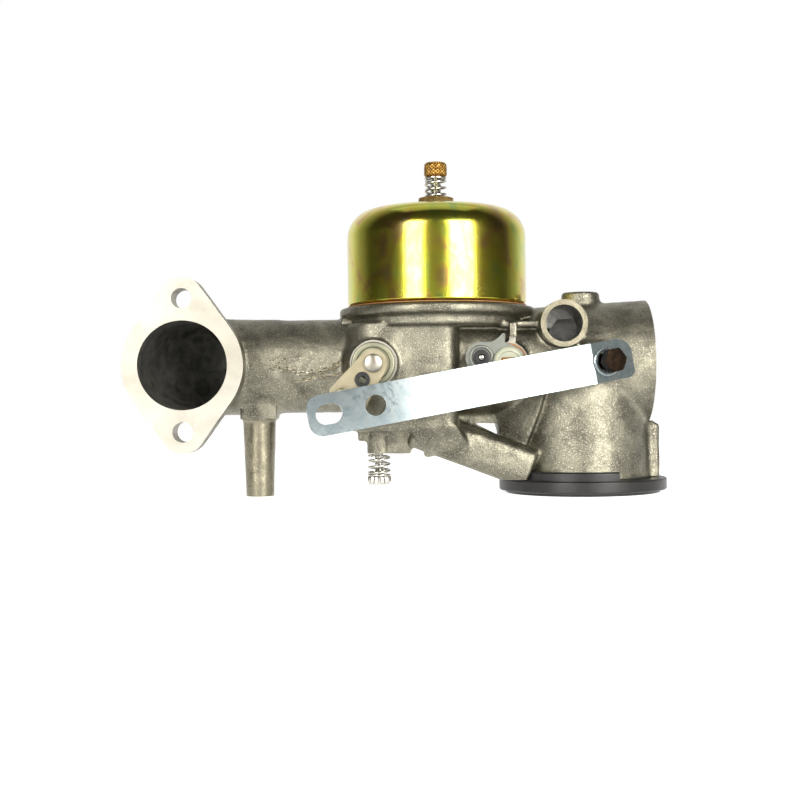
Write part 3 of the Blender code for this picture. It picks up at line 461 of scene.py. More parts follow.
def machined_aluminium():
    """Faced or drilled surfaces: pale cream metal with fine cutter marks."""
    made = Finish("machined_aluminium", metallic=0.7)
    stain = made.noise(11.0, 4.0, 0.4)
    tone = made.ramp(stain, (0.35, (0.345, 0.325, 0.275)), (0.55, (0.41, 0.395, 0.345)),
                     (0.75, (0.45, 0.44, 0.40)))
    pits = made.ramp(made.noise(0.7, 4.0), (0.2, 1.0), (0.26, 0.0))
    made.colour(made.mix(pits, tone, (0.12, 0.11, 0.09)))
    marks = made.noise(0.5, 2.0, place_at=made.stretched(0.06, 1.0, 1.0))
    made.roughness(stain, 0.44, 0.5)
    return made.bump((marks, 0.004), (made.noise(0.3, 2.0), 0.004))


def bore_aluminium():
    """Cored air passages: dull grey with pale specks."""
    made = Finish("bore_aluminium", metallic=0.9)
    tone = made.ramp(made.noise(5.0, 6.0, 1.0), (0.3, (0.12, 0.118, 0.11)), (0.7, (0.34, 0.335, 0.31)))
    specks = made.ramp(made.noise(0.5, 4.0), (0.6, 0.0), (0.72, 0.6))
    made.colour(made.mix(specks, tone, (0.6, 0.58, 0.52)))
    made.roughness(made.noise(0.8), 0.36, 0.55)
    return made.bump((made.noise(0.7, 4.0), 0.06))


def dichromate():
    """Yellow dichromate plate: gold to green, with coppery clouds."""
    made = Finish("yellow_dichromate", metallic=1.0, coat_weight=0.25, coat_roughness=0.06, coat_ior=1.6)
    clouds = made.noise(14.0, 3.0, 1.6, made.stretched(1.0, 1.0, 0.6))
    film = made.ramp(clouds, (0.25, (0.34, 0.50, 0.12)), (0.42, (0.60, 0.62, 0.06)),
                     (0.56, (0.66, 0.55, 0.05)), (0.66, (0.54, 0.34, 0.09)), (0.8, (0.38, 0.50, 0.17)))
    grain = made.noise(0.35, 3.0)
    worn = made.ramp(made.noise(1.4, 4.0, 0.0, made.stretched(1.0, 1.0, 0.3)), (0.4, 0.0), (0.8, 0.3))
    made.colour(made.mix(worn, film, (0.66, 0.70, 0.26)))
    made.roughness(grain, 0.12, 0.25)
    return made.bump((grain, 0.012), (made.noise(1.1, 3.0), 0.006))


def plated(name, tone, cloud, spangle, rough, bump=0.0015, metallic=0.9):
    """Plated sheet metal with a crystalline spangle."""
    made = Finish(name, metallic=metallic)
    cells = made.cells(0.8)
    shade = made.mix(made.ramp(made.noise(4.0, 4.0, 0.8), (0.35, 0.0), (0.7, 1.0)), tone, cloud)
    made.colour(made.mix(made.ramp(cells, (0.0, 0.0), (1.0, spangle)), shade, tuple(0.45 * c for c in tone)))
    made.roughness(cells, rough, rough + 0.09)
    return made.bump((made.noise(0.5, 4.0), bump), (cells, bump * 0.4))


def turned_metal(name, tone, cloud, rough):
    """Turned or drawn metal with fine rings and small stains."""
    made = Finish(name, metallic=1.0)
    clouds = made.ramp(made.noise(1.6, 5.0, 0.6), (0.35, 0.0), (0.72, 1.0))
    made.colour(made.mix(clouds, tone, cloud))
    made.roughness(made.noise(0.8, 4.0), rough, rough + 0.18)
    return made.bump((made.noise(0.35, 3.0, 0.0, made.stretched(0.3, 0.3, 2.0)), 0.0005))


def moulded(name, tone, cloud, rough, grain=0.35, depth=0.01):
    """Rubber, plastic or fibre with a fine matt grain."""
    made = Finish(name, metallic=0.0)
    made.colour(made.mix(made.ramp(made.noise(2.6, 5.0, 0.5), (0.35, 0.0), (0.7, 1.0)), tone, cloud))
    made.roughness(made.noise(1.1, 4.0), rough, rough + 0.15)
    return made.bump((made.noise(grain, 4.0), depth))


LOOKS = {
    "cast": cast_aluminium(),
    "machined": machined_aluminium(),
    "bore": bore_aluminium(),
    "post": post_aluminium(),
    "dichromate": dichromate(),
    "brass": turned_metal("brass", (0.34, 0.23, 0.085), (0.20, 0.125, 0.045), 0.24),
    "knurled_brass": turned_metal("knurled_brass", (0.40, 0.23, 0.06), (0.22, 0.115, 0.03), 0.24),
    "steel": turned_metal("bright_steel", (0.60, 0.59, 0.55), (0.50, 0.48, 0.43), 0.15),
    "satin": turned_metal("satin_steel", (0.34, 0.32, 0.27), (0.28, 0.26, 0.22), 0.24),
    "burnished": turned_metal("burnished_aluminium", (0.66, 0.62, 0.50), (0.40, 0.37, 0.30), 0.22),
    "zinc": plated("zinc_plate", (0.30, 0.345, 0.35), (0.21, 0.265, 0.29), 0.5, 0.08, 0.0004, 0.7),
    "lever_zinc": plated("lever_zinc", (0.24, 0.25, 0.225), (0.20, 0.21, 0.185), 0.03, 0.28, 0.0006),
    "washer_zinc": plated("washer_zinc", (0.30, 0.30, 0.22), (0.24, 0.24, 0.17), 0.08, 0.34, 0.0002),
    "yellow_zinc": plated("yellow_zinc", (0.44, 0.39, 0.27), (0.37, 0.33, 0.22), 0.1, 0.3, 0.0002),
    "rubber": moulded("black_rubber", (0.005, 0.005, 0.0055), (0.010, 0.0095, 0.0095), 0.3),
    "plastic": moulded("black_plastic", (0.012, 0.012, 0.012), (0.02, 0.02, 0.02), 0.24),
    "fibre": moulded("brown_fibre", (0.38, 0.19, 0.065), (0.24, 0.11, 0.035), 0.6, 0.25, 0.03),
    "cream": moulded("cream_plastic", (0.36, 0.38, 0.29), (0.44, 0.44, 0.34), 0.4),
    "tang_brass": turned_metal("tang_brass", (0.62, 0.30, 0.09), (0.42, 0.16, 0.045), 0.28),
    "dark": turned_metal("dark_bronze", (0.010, 0.007, 0.005), (0.025, 0.016, 0.010), 0.36),
}


# ---- casting ----
def along_x(*stations):
    """Sweep stations on the barrel's axis, from (x, radius) pairs."""
    return [((x, 0, BORE_Z), radius) for x, radius in stations]


def elbow_stations(radii, steps=24):
    """The intake bend from the flange to the throttle body."""
    stations = []
    for k, (x, y) in enumerate(arc((FLANGE_X + ELBOW_RADIUS, -ELBOW_RADIUS), ELBOW_RADIUS, 180, 90, steps)):
        stations.append(((x, y, BORE_Z), radii[0] + (radii[1] - radii[0]) * k / steps))
    return stations


def casing():
    stations = [((FLANGE_X, FLANGE_FACE_Y + 4, BORE_Z), 16.4)] + elbow_stations((16.4, 15.75))
    stations += along_x((-100.0, 15.7), (-99.2, 15.4), (-72, PIPE_R), (-60, 18.2), (-24, HORN_R[0]),
                        (HORN_END_X + 1.5, HORN_R[1] + 0.1))
    return sweep("casing", stations, 96)


def main_bore():
    stations = [((FLANGE_X, FLANGE_FACE_Y - 2, BORE_Z), INTAKE_R)] + elbow_stations((INTAKE_R, INTAKE_R))
    stations += along_x((-57, INTAKE_R), (-51.5, THROAT_R), (-44.5, THROAT_R), (-35, CHOKE_BORE_R),
                        (-11, CHOKE_BORE_R), (-9, HORN_BORE_R[0]), (HORN_END_X - 3, HORN_BORE_R[1]),
                        (HORN_END_X - 2.99, PLUG_SEAT_R), (HORN_END_X + 3, PLUG_SEAT_R))
    return sweep("main_bore", stations, 96)


def flange_outline():
    half = FLANGE_HOLE_SPAN / 2
    lean = math.degrees(math.asin((FLANGE_MID_R - FLANGE_END_R) / half))
    outline = arc((FLANGE_X, BORE_Z), FLANGE_MID_R, -lean, lean, 16)
    outline += arc((FLANGE_X, BORE_Z + half), FLANGE_END_R, lean, 180 - lean, 20)
    outline += arc((FLANGE_X, BORE_Z), FLANGE_MID_R, 180 - lean, 180 + lean, 16)
    return outline + arc((FLANGE_X, BORE_Z - half), FLANGE_END_R, 180 + lean, 360 - lean, 20)


def bulge_outline():
    left, right = BULGE_X
    soft, tight = 11.0, 4.2
    front, back = -BULGE_Y, BULGE_Y
    outline = arc((right - tight, front + tight), tight, -90, 0, 6)
    outline += arc((right - tight, back - tight), tight, 0, 90, 6)
    outline += arc((left + soft, back - soft), soft, 90, 180, 10)
    return outline + arc((left + soft, front + soft), soft, 180, 270, 10)


def slanted_arm():
    """The bar from the throttle body down to the air inlet."""
    start, end = Vector((-56.0, 22.3)), Vector((-18.5, 8.2))
    along = (end - start).normalized()
    across = Vector((-along.y, along.x))
    half_width, front, back, nose = 6.4, -18.5, 3.0, 3.5
    section = arc((half_width - nose, front + nose), nose, 0, -90, 8)
    section += arc((nose - half_width, front + nose), nose, -90, -180, 8)
    section += [(-half_width, back), (half_width, back)]
    rings = []
    for centre in (start, end):
        flat = [(*(centre + across * offset), depth) for offset, depth in section]
        rings.append([(x, depth, z) for x, z, depth in flat])
    return loft("arm", rings)


def arm_root():
    """The flare from the throttle body's front down to the arm."""
    rings = []
    sections = ((14.6, -50.6, -38.4, -18.7), (18.5, -55.5, -39.6, -20.6), (23.0, -58.5, -42.4, -23.4))
    for z, left, right, front in sections:
        rings.append([(left, front, z), (right, front, z), (right, -8, z), (left, -8, z)])
    return loft("arm_root", rings)


def cheek():
    """The web between the choke barrel and the air inlet; its right edge stands a little proud."""
    rings = []
    for z, x, y in ((12.0, -21.4, -12.6), (20.0, -18.6, -16.2), (27.0, -16.0, -18.3), (34.0, -14.2, -19.6)):
        rings.append([(x, y, z), (x + 1.5, y + 6, z), (-8, 6, z), (-32, 6, z), (-30, -7.5, z)])
    return loft("cheek", rings)


def strap_frames():
    """The frames at the strap's pivot and past its bend: X along the strap, Y across, Z to the lever side."""
    yaw, drop = math.radians(STRAP_YAW[1]), math.radians(STRAP_DROP)
    out = Vector((math.sin(yaw), -math.cos(yaw), 0))
    level = Vector((-math.cos(yaw), -math.sin(yaw), 0))
    along = level * math.cos(drop) - Vector((0, 0, 1)) * math.sin(drop)
    far = Matrix((along, out.cross(along), out)).transposed().to_4x4()
    near = far @ Matrix.Rotation(math.radians(STRAP_YAW[1] - STRAP_YAW[0]), 4, "Y")
    near = Matrix.Translation(pivot("strap_swing")) @ near
    bend = near @ Vector((STRAP_BEND_AT, 0, 0))
    return near, Matrix.Translation(bend) @ far @ Matrix.Translation((-STRAP_BEND_AT, 0, 0))


def parting_line(points, radius, seed):
    """A rough flash line left by the die, along points on the pipe."""
    stations = []
    curve = rounded([(*p, 6.0) for p in points], steps=6)
    for k in range(len(curve) - 1):
        for t in (0.0, 0.33, 0.67):
            x, z = Vector(curve[k]).lerp(Vector(curve[k + 1]), t)
            wave = noise.noise(Vector((x * 0.9, z * 0.5, seed)))
            z += 0.9 * wave
            rise = min(max((z - BORE_Z) / PIPE_R, -0.98), 0.98)
            y = (0.05 - PIPE_R) * math.sqrt(1 - rise * rise)
            stations.append(((x, y, z), radius * (1 + 0.7 * wave)))
    return sweep("parting", stations, 10)


def flash_crumbs():
    """Bright crumbs of flash on the front of the intake pipe, along the die's parting line."""
    chance = random.Random(7)
    mesh_edit = bmesh.new()
    lines = (([(-106, 42), (-100, 42.4), (-92, 39.8), (-84, 41.2), (-77, 44)], 150, 0.55),
             ([(-95, 37.2), (-88, 38.6), (-82, 38.9), (-77, 41.5)], 60, 0.3),
             ([(-105, 45), (-96, 44)], 14, 0.3))
    for line, count, spread in lines:
        for _ in range(count):
            along = chance.random() ** 0.8 * (len(line) - 1.001)
            start, end = Vector(line[int(along)]), Vector(line[int(along) + 1])
            x, z = start.lerp(end, along % 1.0)
            x, z = x + chance.gauss(0, 0.4), z + chance.gauss(0, spread)
            length, height = 0.25 + 0.7 * chance.random() ** 2, 0.12 + 0.22 * chance.random()
            ring = []
            for j in range(8):
                turn = 2 * math.pi * j / 8
                u = x + length * math.cos(turn) * (0.7 + 0.5 * chance.random())
                w = z + height * math.sin(turn) * (0.7 + 0.5 * chance.random())
                ring.append((u, -math.sqrt((PIPE_R + 0.1) ** 2 - (w - BORE_Z) ** 2), w))
            depth = math.sqrt((PIPE_R + 0.5) ** 2 - (z - BORE_Z) ** 2)
            skin(mesh_edit, [[(x, 1.4 - depth, z)], ring, [(x, -depth, z)]])
    place(solid("crumbs", mesh_edit), "parting_flash", "root", "burnished")


def fuse(tools, passes):
    """Melt solids into one with filleted joins: a voxel remesh, then smoothing."""
    joined = bmesh.new()
    for tool in tools:
        joined.from_mesh(tool.data)
        bpy.data.objects.remove(tool, do_unlink=True)
    made = as_object("fused", joined)
    step = made.modifiers.new("remesh", "REMESH")
    step.mode = "VOXEL"
    step.voxel_size = VOXEL
    step = made.modifiers.new("smooth", "SMOOTH")
    step.factor = 0.5
    step.iterations = passes
    return keep_shape(made)


def big_lumps():
    """The main masses, which melt into each other with wide fillets."""
    return [
        casing(), slanted_arm(), arm_root(),
        extrude("bulge", bulge_outline(), *BULGE_Z, LEVEL),
        rod_z("down_pipe", 0, 0, SEAT_Z - 1.5, BORE_Z + 6, *DOWN_PIPE_R, 128),
        block("side_pad", (17.0, -6.0, SEAT_Z - 1.5), (24.9, 6.0, 22.6)),
        rod_z("post", POST_X, POST_Y, -1.5, 34, 4.6, 5.8),
        extrude("web", [(-46, 30), (-12, 30), (-12, 12), (-19, 12), (-46, 20)], -8, 8, UPRIGHT),
        rod_y("throttle_boss", THROTTLE_X, BORE_Z, THROTTLE_FACE_Y - 1, 26, 7.5),
        rod_y("choke_boss", CHOKE_X, BORE_Z, CHOKE_FACE_Y - 1, 21, 6.7),
        rod_y("inlet_boss", BOWL_X, INLET_Z, 12, 28, 5.6),
        rod_z("stud_boss", 0, 0, 50, STUD_TOP_Z + 0.2, 6.35),
        rod_y("throttle_neck", THROTTLE_X, BORE_Z, -12, -20, 11.5, 8.5),
    ]


def fine_lumps():
    """Rims, bosses, ribs and flash, which keep tighter joins."""
    deck = [(0, 54.6), (RING_R, 54.6, 0.8), (RING_R, 57.6, 0.5), (DECK_R, 58.4, 0.9)]
    deck += [(DECK_R, DECK_TOP_Z, 1.0), (0, DECK_TOP_Z)]
    at = strap_frames()[0]
    lumps = [
        lathe("deck", deck, (BOWL_X, 0, 0), segments=160), cheek(),
        extrude("flange", flange_outline(), FLANGE_FACE_Y - 1.5, FLANGE_FACE_Y + FLANGE_THICK, UPRIGHT),
        block("post_collar", (POST_X - 5.7, POST_Y - 5.7, 25.2), (POST_X + 6.1, POST_Y + 5.7, 31.5)),
        rod_z("idle_boss", IDLE_X, IDLE_Y, 12.8, 30, 3.9),
        block("idle_block", (-64.8, -12.1, 13.7), (-56.9, -2, 26)),
        block("idle_tab", (-74.3, -10, 17.8), (-70.0, -2, 30)),
        block("idle_bridge", (-68.0, -11, 14.8), (-64.0, -4, 26)),
        block("gap_rib", (-52.8, -15, 12.6), (-50.3, 4, 24)),
        block("gap_back", (-58.0, -1, 15.0), (-51.0, 3.2, 24)),
        rod_y("breather_boss", *BREATHER, -26, -6, 7.45, None, 96),
        block("stop_bar", (-28.4, -20.8, 54.0), (-14.4, -10, 55.7)),
        block("stop_stem", (-25.5, -22.6, 49.2), (-23.4, -10, 55.2)),
        block("deck_tab", (-79.4, -8, 56.7), (-74, 2, 58.1)),
        rod("screw_boss", at @ Vector((0, 0, 0.8)), at @ Vector((0, 0, -10)), 5.3),
        rod_z("column", BOWL_X, 0, 58, COLUMN_TOP_Z, 4.9),
        rod_z("seat_boss", BOWL_X, NEEDLE_Y, 60, 62.6, 4.4),
    ]
    for x in (BOWL_X - 6.6, BOWL_X + 6.6):
        lumps.append(block("hinge_post", (x - 1.2, PIN_Y - 2.2, 60), (x + 1.2, PIN_Y + 2.2, PIN_Z + 2.2)))
    return lumps + [
        parting_line([(-108, 41), (-100, 42.5), (-92, 39.5), (-84, 41), (-77.5, 44)], 0.38, 1.0),
        parting_line([(-96, 36), (-88, 38.5), (-82, 38.8), (-76.5, 41)], 0.32, 5.0),
        parting_line([(-107, 45.5), (-98, 44.2), (-90, 44.8)], 0.3, 9.0),
    ]


CAST_LOOKS = ["cast", "machined", "bore", "post"]


def cutter(made, look):
    """Give a cutter the finish that it leaves behind."""
    for name in CAST_LOOKS:
        made.data.materials.append(LOOKS[name])
    for face in made.data.polygons:
        face.material_index = CAST_LOOKS.index(look)
    return made


def casting_cutters():
    """Facings, bores and drillings, each with the finish that it leaves."""
    inner, outer = COLLAR_R[0] - GAP, COLLAR_R[1] + GAP
    start, end = COLLAR_ARC[0] + 0.9, COLLAR_ARC[1] - 0.9
    collar = arc((0, 0), outer, start, end, 60) + arc((0, 0), inner, end, start, 60)
    x, z = BREATHER
    holes = [BORE_Z - FLANGE_HOLE_SPAN / 2, BORE_Z + FLANGE_HOLE_SPAN / 2]
    faces = ((THROTTLE_X, THROTTLE_FACE_Y), (CHOKE_X, CHOKE_FACE_Y))
    window = rounded([(-36.4, 23.3, 0.25), (-28.6, 23.1, 0.4), (-27.5, 18.9, 0.4)], closed=True)
    at = strap_frames()[0]
    cuts = [
        ("bore", main_bore()),
        ("machined", block("flange_face", (-160, -45, 5), (-100, FLANGE_FACE_Y, 80))),
        ("machined", block("horn_face", (HORN_END_X, -26, 23.4), (40, 26, 70))),
        ("machined", rod_z("under_seat", 0, 0, -6, SEAT_Z, 45, None, 96)),
        ("machined", rod_z("post_end", POST_X, POST_Y, -6, 0, 9)),
        ("cast", extrude("collar_space", collar, 3, COLLAR_TOP_Z + GAP, LEVEL)),
        ("bore", rod_z("inlet_bore", 0, 0, -1, BORE_Z, DOWN_PIPE_BORE_R, None, 96)),
        ("post", block("breather_face", (x - 9, -30, z - 9), (x + 9, -25, z + 9))),
        ("bore", rod_y("breather_bore", x, z, -26, -9, 5.85, 5.5)),
        *(("machined", rod_y("bolt_hole", FLANGE_X, hole, -33, -18, FLANGE_HOLE_R)) for hole in holes),
        ("machined", rod_z("post_hole", POST_X, POST_Y, -1, 14, 2.55)),
        ("machined", rod_z("idle_face", IDLE_X, IDLE_Y, 11, 13.8, 6)),
        *(("machined", rod_y("boss_face", at_x, BORE_Z, face - 5, face, 8.6)) for at_x, face in faces),
        ("bore", rod_y("throttle_hole", THROTTLE_X, BORE_Z, -30, 22, SHAFT_R + GAP)),
        ("bore", rod_y("choke_hole", CHOKE_X, BORE_Z, -30, 18.5, SHAFT_R + GAP)),
        ("bore", rod_z("idle_hole", IDLE_X, IDLE_Y, 12, 29, 1.8)),
        ("bore", rod_z("column_bore", BOWL_X, 0, BORE_Z + 2, 96, 3.2)),
        ("bore", rod_z("column_mouth", BOWL_X, 0, 87, 97, 3.95)),
        ("bore", rod_z("seat_hole", BOWL_X, NEEDLE_Y, INLET_Z, 64, 3.1)),
        ("bore", rod_y("inlet_hole", BOWL_X, INLET_Z, NEEDLE_Y, 30, 2.9)),
        ("bore", rod("pin_hole", (BOWL_X - 10, PIN_Y, PIN_Z), (BOWL_X + 10, PIN_Y, PIN_Z), 1.1)),
        ("machined", rod_z("stud_face", 0, 0, STUD_TOP_Z, 70, 9)),
        ("machined", rod_y("plug_recess", PLUG_X, PLUG_Z, BULGE_Y - 1.4, BULGE_Y + 2, 4.3)),
        ("cast", extrude("window", window, -30, 30, UPRIGHT)),
        ("machined", rod("screw_face", at @ Vector((0, 0, -GAP)), at @ Vector((0, 0, 3)), 9)),
        ("bore", rod("screw_hole", at @ Vector((0, 0, 1)), at @ Vector((0, 0, -8)), 2.6)),
    ]
    return [cutter(made, look) for look, made in cuts]


def weather(made):
    """Low waves over the cast skin."""
    normals = [point.normal.copy() for point in made.data.vertices]
    for point, normal in zip(made.data.vertices, normals):
        wave = 0.10 * noise.noise(point.co * 0.22) + 0.05 * noise.noise(point.co * 0.8)
        point.co += normal * wave
    return made


def build_casting():
    fine = weather(fuse([fuse(big_lumps(), 24)] + fine_lumps(), 4))
    step = fine.modifiers.new("thin", "DECIMATE")
    step.ratio = 0.5
    keep_shape(fine)
    cutter(fine, "cast")
    for face in fine.data.polygons:
        centre = face.center
        if centre.z < 25 and math.hypot(centre.x - POST_X, centre.y - POST_Y) < 6.5:
            face.material_index = CAST_LOOKS.index("post")
    carve(fine, *casting_cutters())
    place(fine, "body_casting", "root", "cast", "carburetor_body", dressed=True)


# ---- float bowl and the high-speed screw ----
def build_bowl():
    radius, wall, shoulder = BOWL_HIGH.x - BOWL_X, 0.9, 10.5
    low, top = BOWL_LOW.z, BOWL_HIGH.z
    outer = [(radius - 0.4, low, 0.3), (radius, low + 0.5, 0.4), (radius, top - 2.3, shoulder)]
    outer += [(12.5, top - 0.6, 25.0), (7.4, top, 3.0)]
    inner = [(7.4, top - wall, 1.5), (12.5, top - wall - 0.6, 25.0)]
    inner += [(radius - wall, top - wall - 2.3, shoulder - wall), (radius - wall, low, 0.3)]
    hole = [(3.95, top, 0.1), (3.95, top - wall, 0.1)]
    cup = lathe("bowl", outer + hole + inner, (BOWL_X, 0, 0), segments=192, closed=True)
    place(cup, "bowl_cup", "root", "dichromate", "float_bowl")
    low, high = span("bowl_gasket")
    outer_r = (high.x - low.x) / 2
    profile = [(outer_r - 3, low.z), (outer_r, low.z, 0.2), (outer_r, high.z, 0.2), (outer_r - 3, high.z)]
    gasket = lathe("gasket", profile, (BOWL_X, 0, 0), segments=160, closed=True)
    place(gasket, "gasket_ring", "root", "fibre", "bowl_gasket")


def build_nut():
    across = (NUT_HIGH.y - NUT_LOW.y) / 2
    outline = [(BOWL_X + x, y) for x, y in arc((0, 0), across, -90, 210, 5)]
    low, high = NUT_SEAT_Z, NUT_HIGH.z
    nut = extrude("nut", outline, low, high, LEVEL)
    chamfer = [(0, low - 1), (across + 1, low - 1), (across + 1, high - 0.9)]
    chamfer += [(across - 1.0, high + 0.05), (0, high + 0.05)]
    carve(nut, lathe("chamfer", chamfer, (BOWL_X, 0, 0)), operation="INTERSECT")
    neck = rod_z("neck", BOWL_X, 0, NUT_LOW.z, low + 0.5, 3.6)
    rim = [(0, high - 0.4), (3.6, high - 0.4, 0.1), (3.4, high, 0.15), (0, high)]
    collar = lathe("collar", rim, (BOWL_X, 0, 0))
    carve(nut, neck, collar, operation="UNION")
    carve(nut, rod_z("needle_hole", BOWL_X, 0, 86, 99, 2.2))
    place(soften(nut, 0.12, 2), "nut_hex", "root", "brass", "packing_nut")
    place_washer("nut_washer", "packing_nut_washer", "root", "fibre", (BOWL_X, 0), 3.9, 5.4, 0.1)


def ring_at(centre, z, count, radius_at):
    """A ring of points at height z, whose radius depends on the angle."""
    return [(*polar(centre, radius_at(a), a), z) for a in turns(count)]


def threaded_rings(centre, radius, low, high, depth=0.22):
    """Rings of a fine screw thread, from low to high."""
    rings = []
    steps = int((high - low) / PITCH * 8)
    for k in range(steps + 1):
        z = low + (high - low) * k / steps
        rings.append(ring_at(centre, z, THREAD_SIDES, lambda a: radius - depth * abs(
            2 * ((z / PITCH - a / (2 * math.pi)) % 1.0) - 1)))
    return rings


def plain_rings(centre, *stations):
    """Round rings that match a thread's, through (radius, height) stations."""
    return [ring_at(centre, z, THREAD_SIDES, lambda a: radius) for radius, z in stations]


def knurled_head(centre, radius, low, high, teeth, depth):
    """A head with a diamond knurl between two chamfers."""
    rings = []
    steps = 26
    for k in range(steps + 1):
        z = low + (high - low) * k / steps
        inset = max(0.0, 0.7 - (z - low), 0.7 - (high - z))
        cut = depth if inset < 0.35 else 0.0
        twist = 2 * math.pi * (z - low) / 1.05
        rings.append(ring_at(centre, z, teeth * 6, lambda a: radius - inset - cut * (
            1 - abs(math.sin((teeth * a + twist) / 2) * math.sin((teeth * a - twist) / 2)))))
    return loft("head", rings)


def ribbed_head(centre, radius, low, high, teeth, depth):
    """A head with straight ribs and rounded ends."""
    rings = []
    sections = [(-1.1, low), (-0.5, low), (-0.12, low + 0.18), (0, low + 0.45)]
    sections += [(0, high - 0.45), (-0.12, high - 0.18), (-0.5, high), (-1.1, high)]
    for inset, z in sections:
        cut = depth if inset > -0.4 else 0.0
        rings.append(ring_at(centre, z, teeth * 6, lambda a: radius + inset - cut * (
            0.5 - 0.5 * math.cos(teeth * a))))
    return loft("head", rings)


def place_spring(name, node, centre, radius, coils, ends):
    """A spring between the casting and its moving washer; its ends lie flat for a third of a turn."""
    low, high = (corner.z for corner in span(node))
    flat, steps = 0.35, 36
    stations = []
    for k in range(int((coils + 2 * flat) * steps) + 1):
        t = k / steps
        active = min(max((t - flat) / coils, 0.0), 1.0)
        height = low + WIRE_R + active * (high - low - 2 * WIRE_R)
        turn = 2 * math.pi * t + 2.2
        stations.append(((*polar(centre, radius, turn), height), WIRE_R))
    made = sweep(name, stations, 12)
    made.data.transform(Matrix.Scale(MM, 4))
    made.data.materials.append(LOOKS["steel"])
    made.data.shade_smooth()
    inside = {"low": low + 0.9, "high": high - 0.9}
    start, end = ((centre[0] * MM, centre[1] * MM, inside[side] * MM) for side in ends)
    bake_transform(made)
    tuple(start)
    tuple(end)
    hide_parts(node)


def place_washer(name, node, body, look, centre, inner, outer, rounding):
    """A flat washer about an upright axis, as thick as its CAD node."""
    low, high = (corner.z for corner in span(node))
    profile = [(inner, low, 0.1), (outer, low, rounding), (outer, high, rounding), (inner, high, 0.1)]
    place(lathe("washer", profile, (*centre, 0), closed=True), name, body, look, node)


def build_high_speed():
    centre = (BOWL_X, 0)
    knob_low = KNOB_TOP - 4.8
    knob = knurled_head(centre, 3.85, knob_low, KNOB_TOP, 22, 0.36)
    carve(knob, block("slot", (BOWL_X - 6, -0.5, KNOB_TOP - 1.2), (BOWL_X + 6, 0.5, KNOB_TOP + 1)))
    rings = [[(*centre, 60)]] + plain_rings(centre, (0.35, 60.0), (1.0, 64.5), (1.0, 71.0), (1.66, 72.0))
    rings += threaded_rings(centre, 1.9, 72.5, knob_low + 0.3) + [[(*centre, knob_low + 0.3)]]
    place(loft("stem", rings, capped=False), "high_speed_stem", "high_speed_screw", "steel")
    place(knob, "high_speed_knob", "high_speed_screw", "knurled_brass", "high_speed_needle")
    place_spring("high_speed_coil", "high_speed_spring", centre, 3.3, 2.4, ("low", "high"))
    washer = "high_speed_spring_washer"
    place_washer("high_speed_washer", washer, "high_speed_seat", "steel", centre, 2.2, 3.75, 0.15)


def build_idle():
    centre = (IDLE_X, IDLE_Y)
    high = IDLE_LOW + 2.7
    head = ribbed_head(centre, 3.8, IDLE_LOW, high, 16, 0.38)
    corners = (IDLE_X - 6, IDLE_Y - 0.5, IDLE_LOW - 1), (IDLE_X + 6, IDLE_Y + 0.5, IDLE_LOW + 0.9)
    carve(head, block("slot", *corners))
    rings = [[(*centre, high - 0.3)]] + threaded_rings(centre, 1.5, high - 0.3, 24, 0.2)
    rings += plain_rings(centre, (1.2, 24.4), (0.3, 27.5)) + [[(*centre, 27.5)]]
    carve(head, loft("shaft", rings, capped=False), operation="UNION")
    place(head, "idle_screw_head", "idle_screw", "steel", "idle_needle")
    place_spring("idle_coil", "idle_spring", centre, 3.4, 2.6, ("high", "low"))
    place_washer("idle_washer", "idle_spring_washer", "idle_seat", "steel", centre, 1.8, 3.85, 0.15)


# ---- throttle and choke ----
def tangent_angle(first, second):
    dx, dz = second[0] - first[0], second[1] - first[1]
    lean = math.acos((first[2] - second[2]) / math.hypot(dx, dz))
    return math.degrees(math.atan2(dz, dx) - lean)


def hull_outline(circles, steps=18):
    """The outline of a belt round circles, listed as (x, z, radius) anticlockwise."""
    outline = []
    count = len(circles)
    for k in range(count):
        start = tangent_angle(circles[k - 1], circles[k])
        end = tangent_angle(circles[k], circles[(k + 1) % count])
        while end < start:
            end += 360
        outline += arc(circles[k][:2], circles[k][2], start, end, steps)
    return outline


def along_y(name, profile, x, y, z, segments=64, closed=False):
    """A turned piece whose height runs towards the lever side."""
    return lathe(name, profile, (x, y, z), (0, -1, 0), segments, closed)


def milled_shaft(name, x, front, back, flat_y):
    shaft = rod_y(name, x, BORE_Z, front, back, SHAFT_R, None, 96)
    tools = [block("flat", (x - 8, -flat_y, BORE_Z - 8), (x + 0.9, flat_y, BORE_Z + 8))]
    for y in (-5.5, 5.5):
        tools.append(rod("tapped", (x - 5, y, BORE_Z), (x + 5, y, BORE_Z), 1.3))
    return carve(shaft, *tools)


def place_bushing(name, node, body, at, front, rim, lip, tube, depth):
    """A plastic bushing in a lever: its rim stands out in front and its tube goes through the plate."""
    profile = [(1.1, lip, 0.1), (rim, lip, 0.2), (rim, 0.3, 0.2), (tube, 0, 0.1), (tube, -depth, 0.1)]
    sleeve = along_y("bushing", profile + [(1.1, -depth, 0.1)], at[0], front, at[1], closed=True)
    place(sleeve, name, body, "plastic", node)


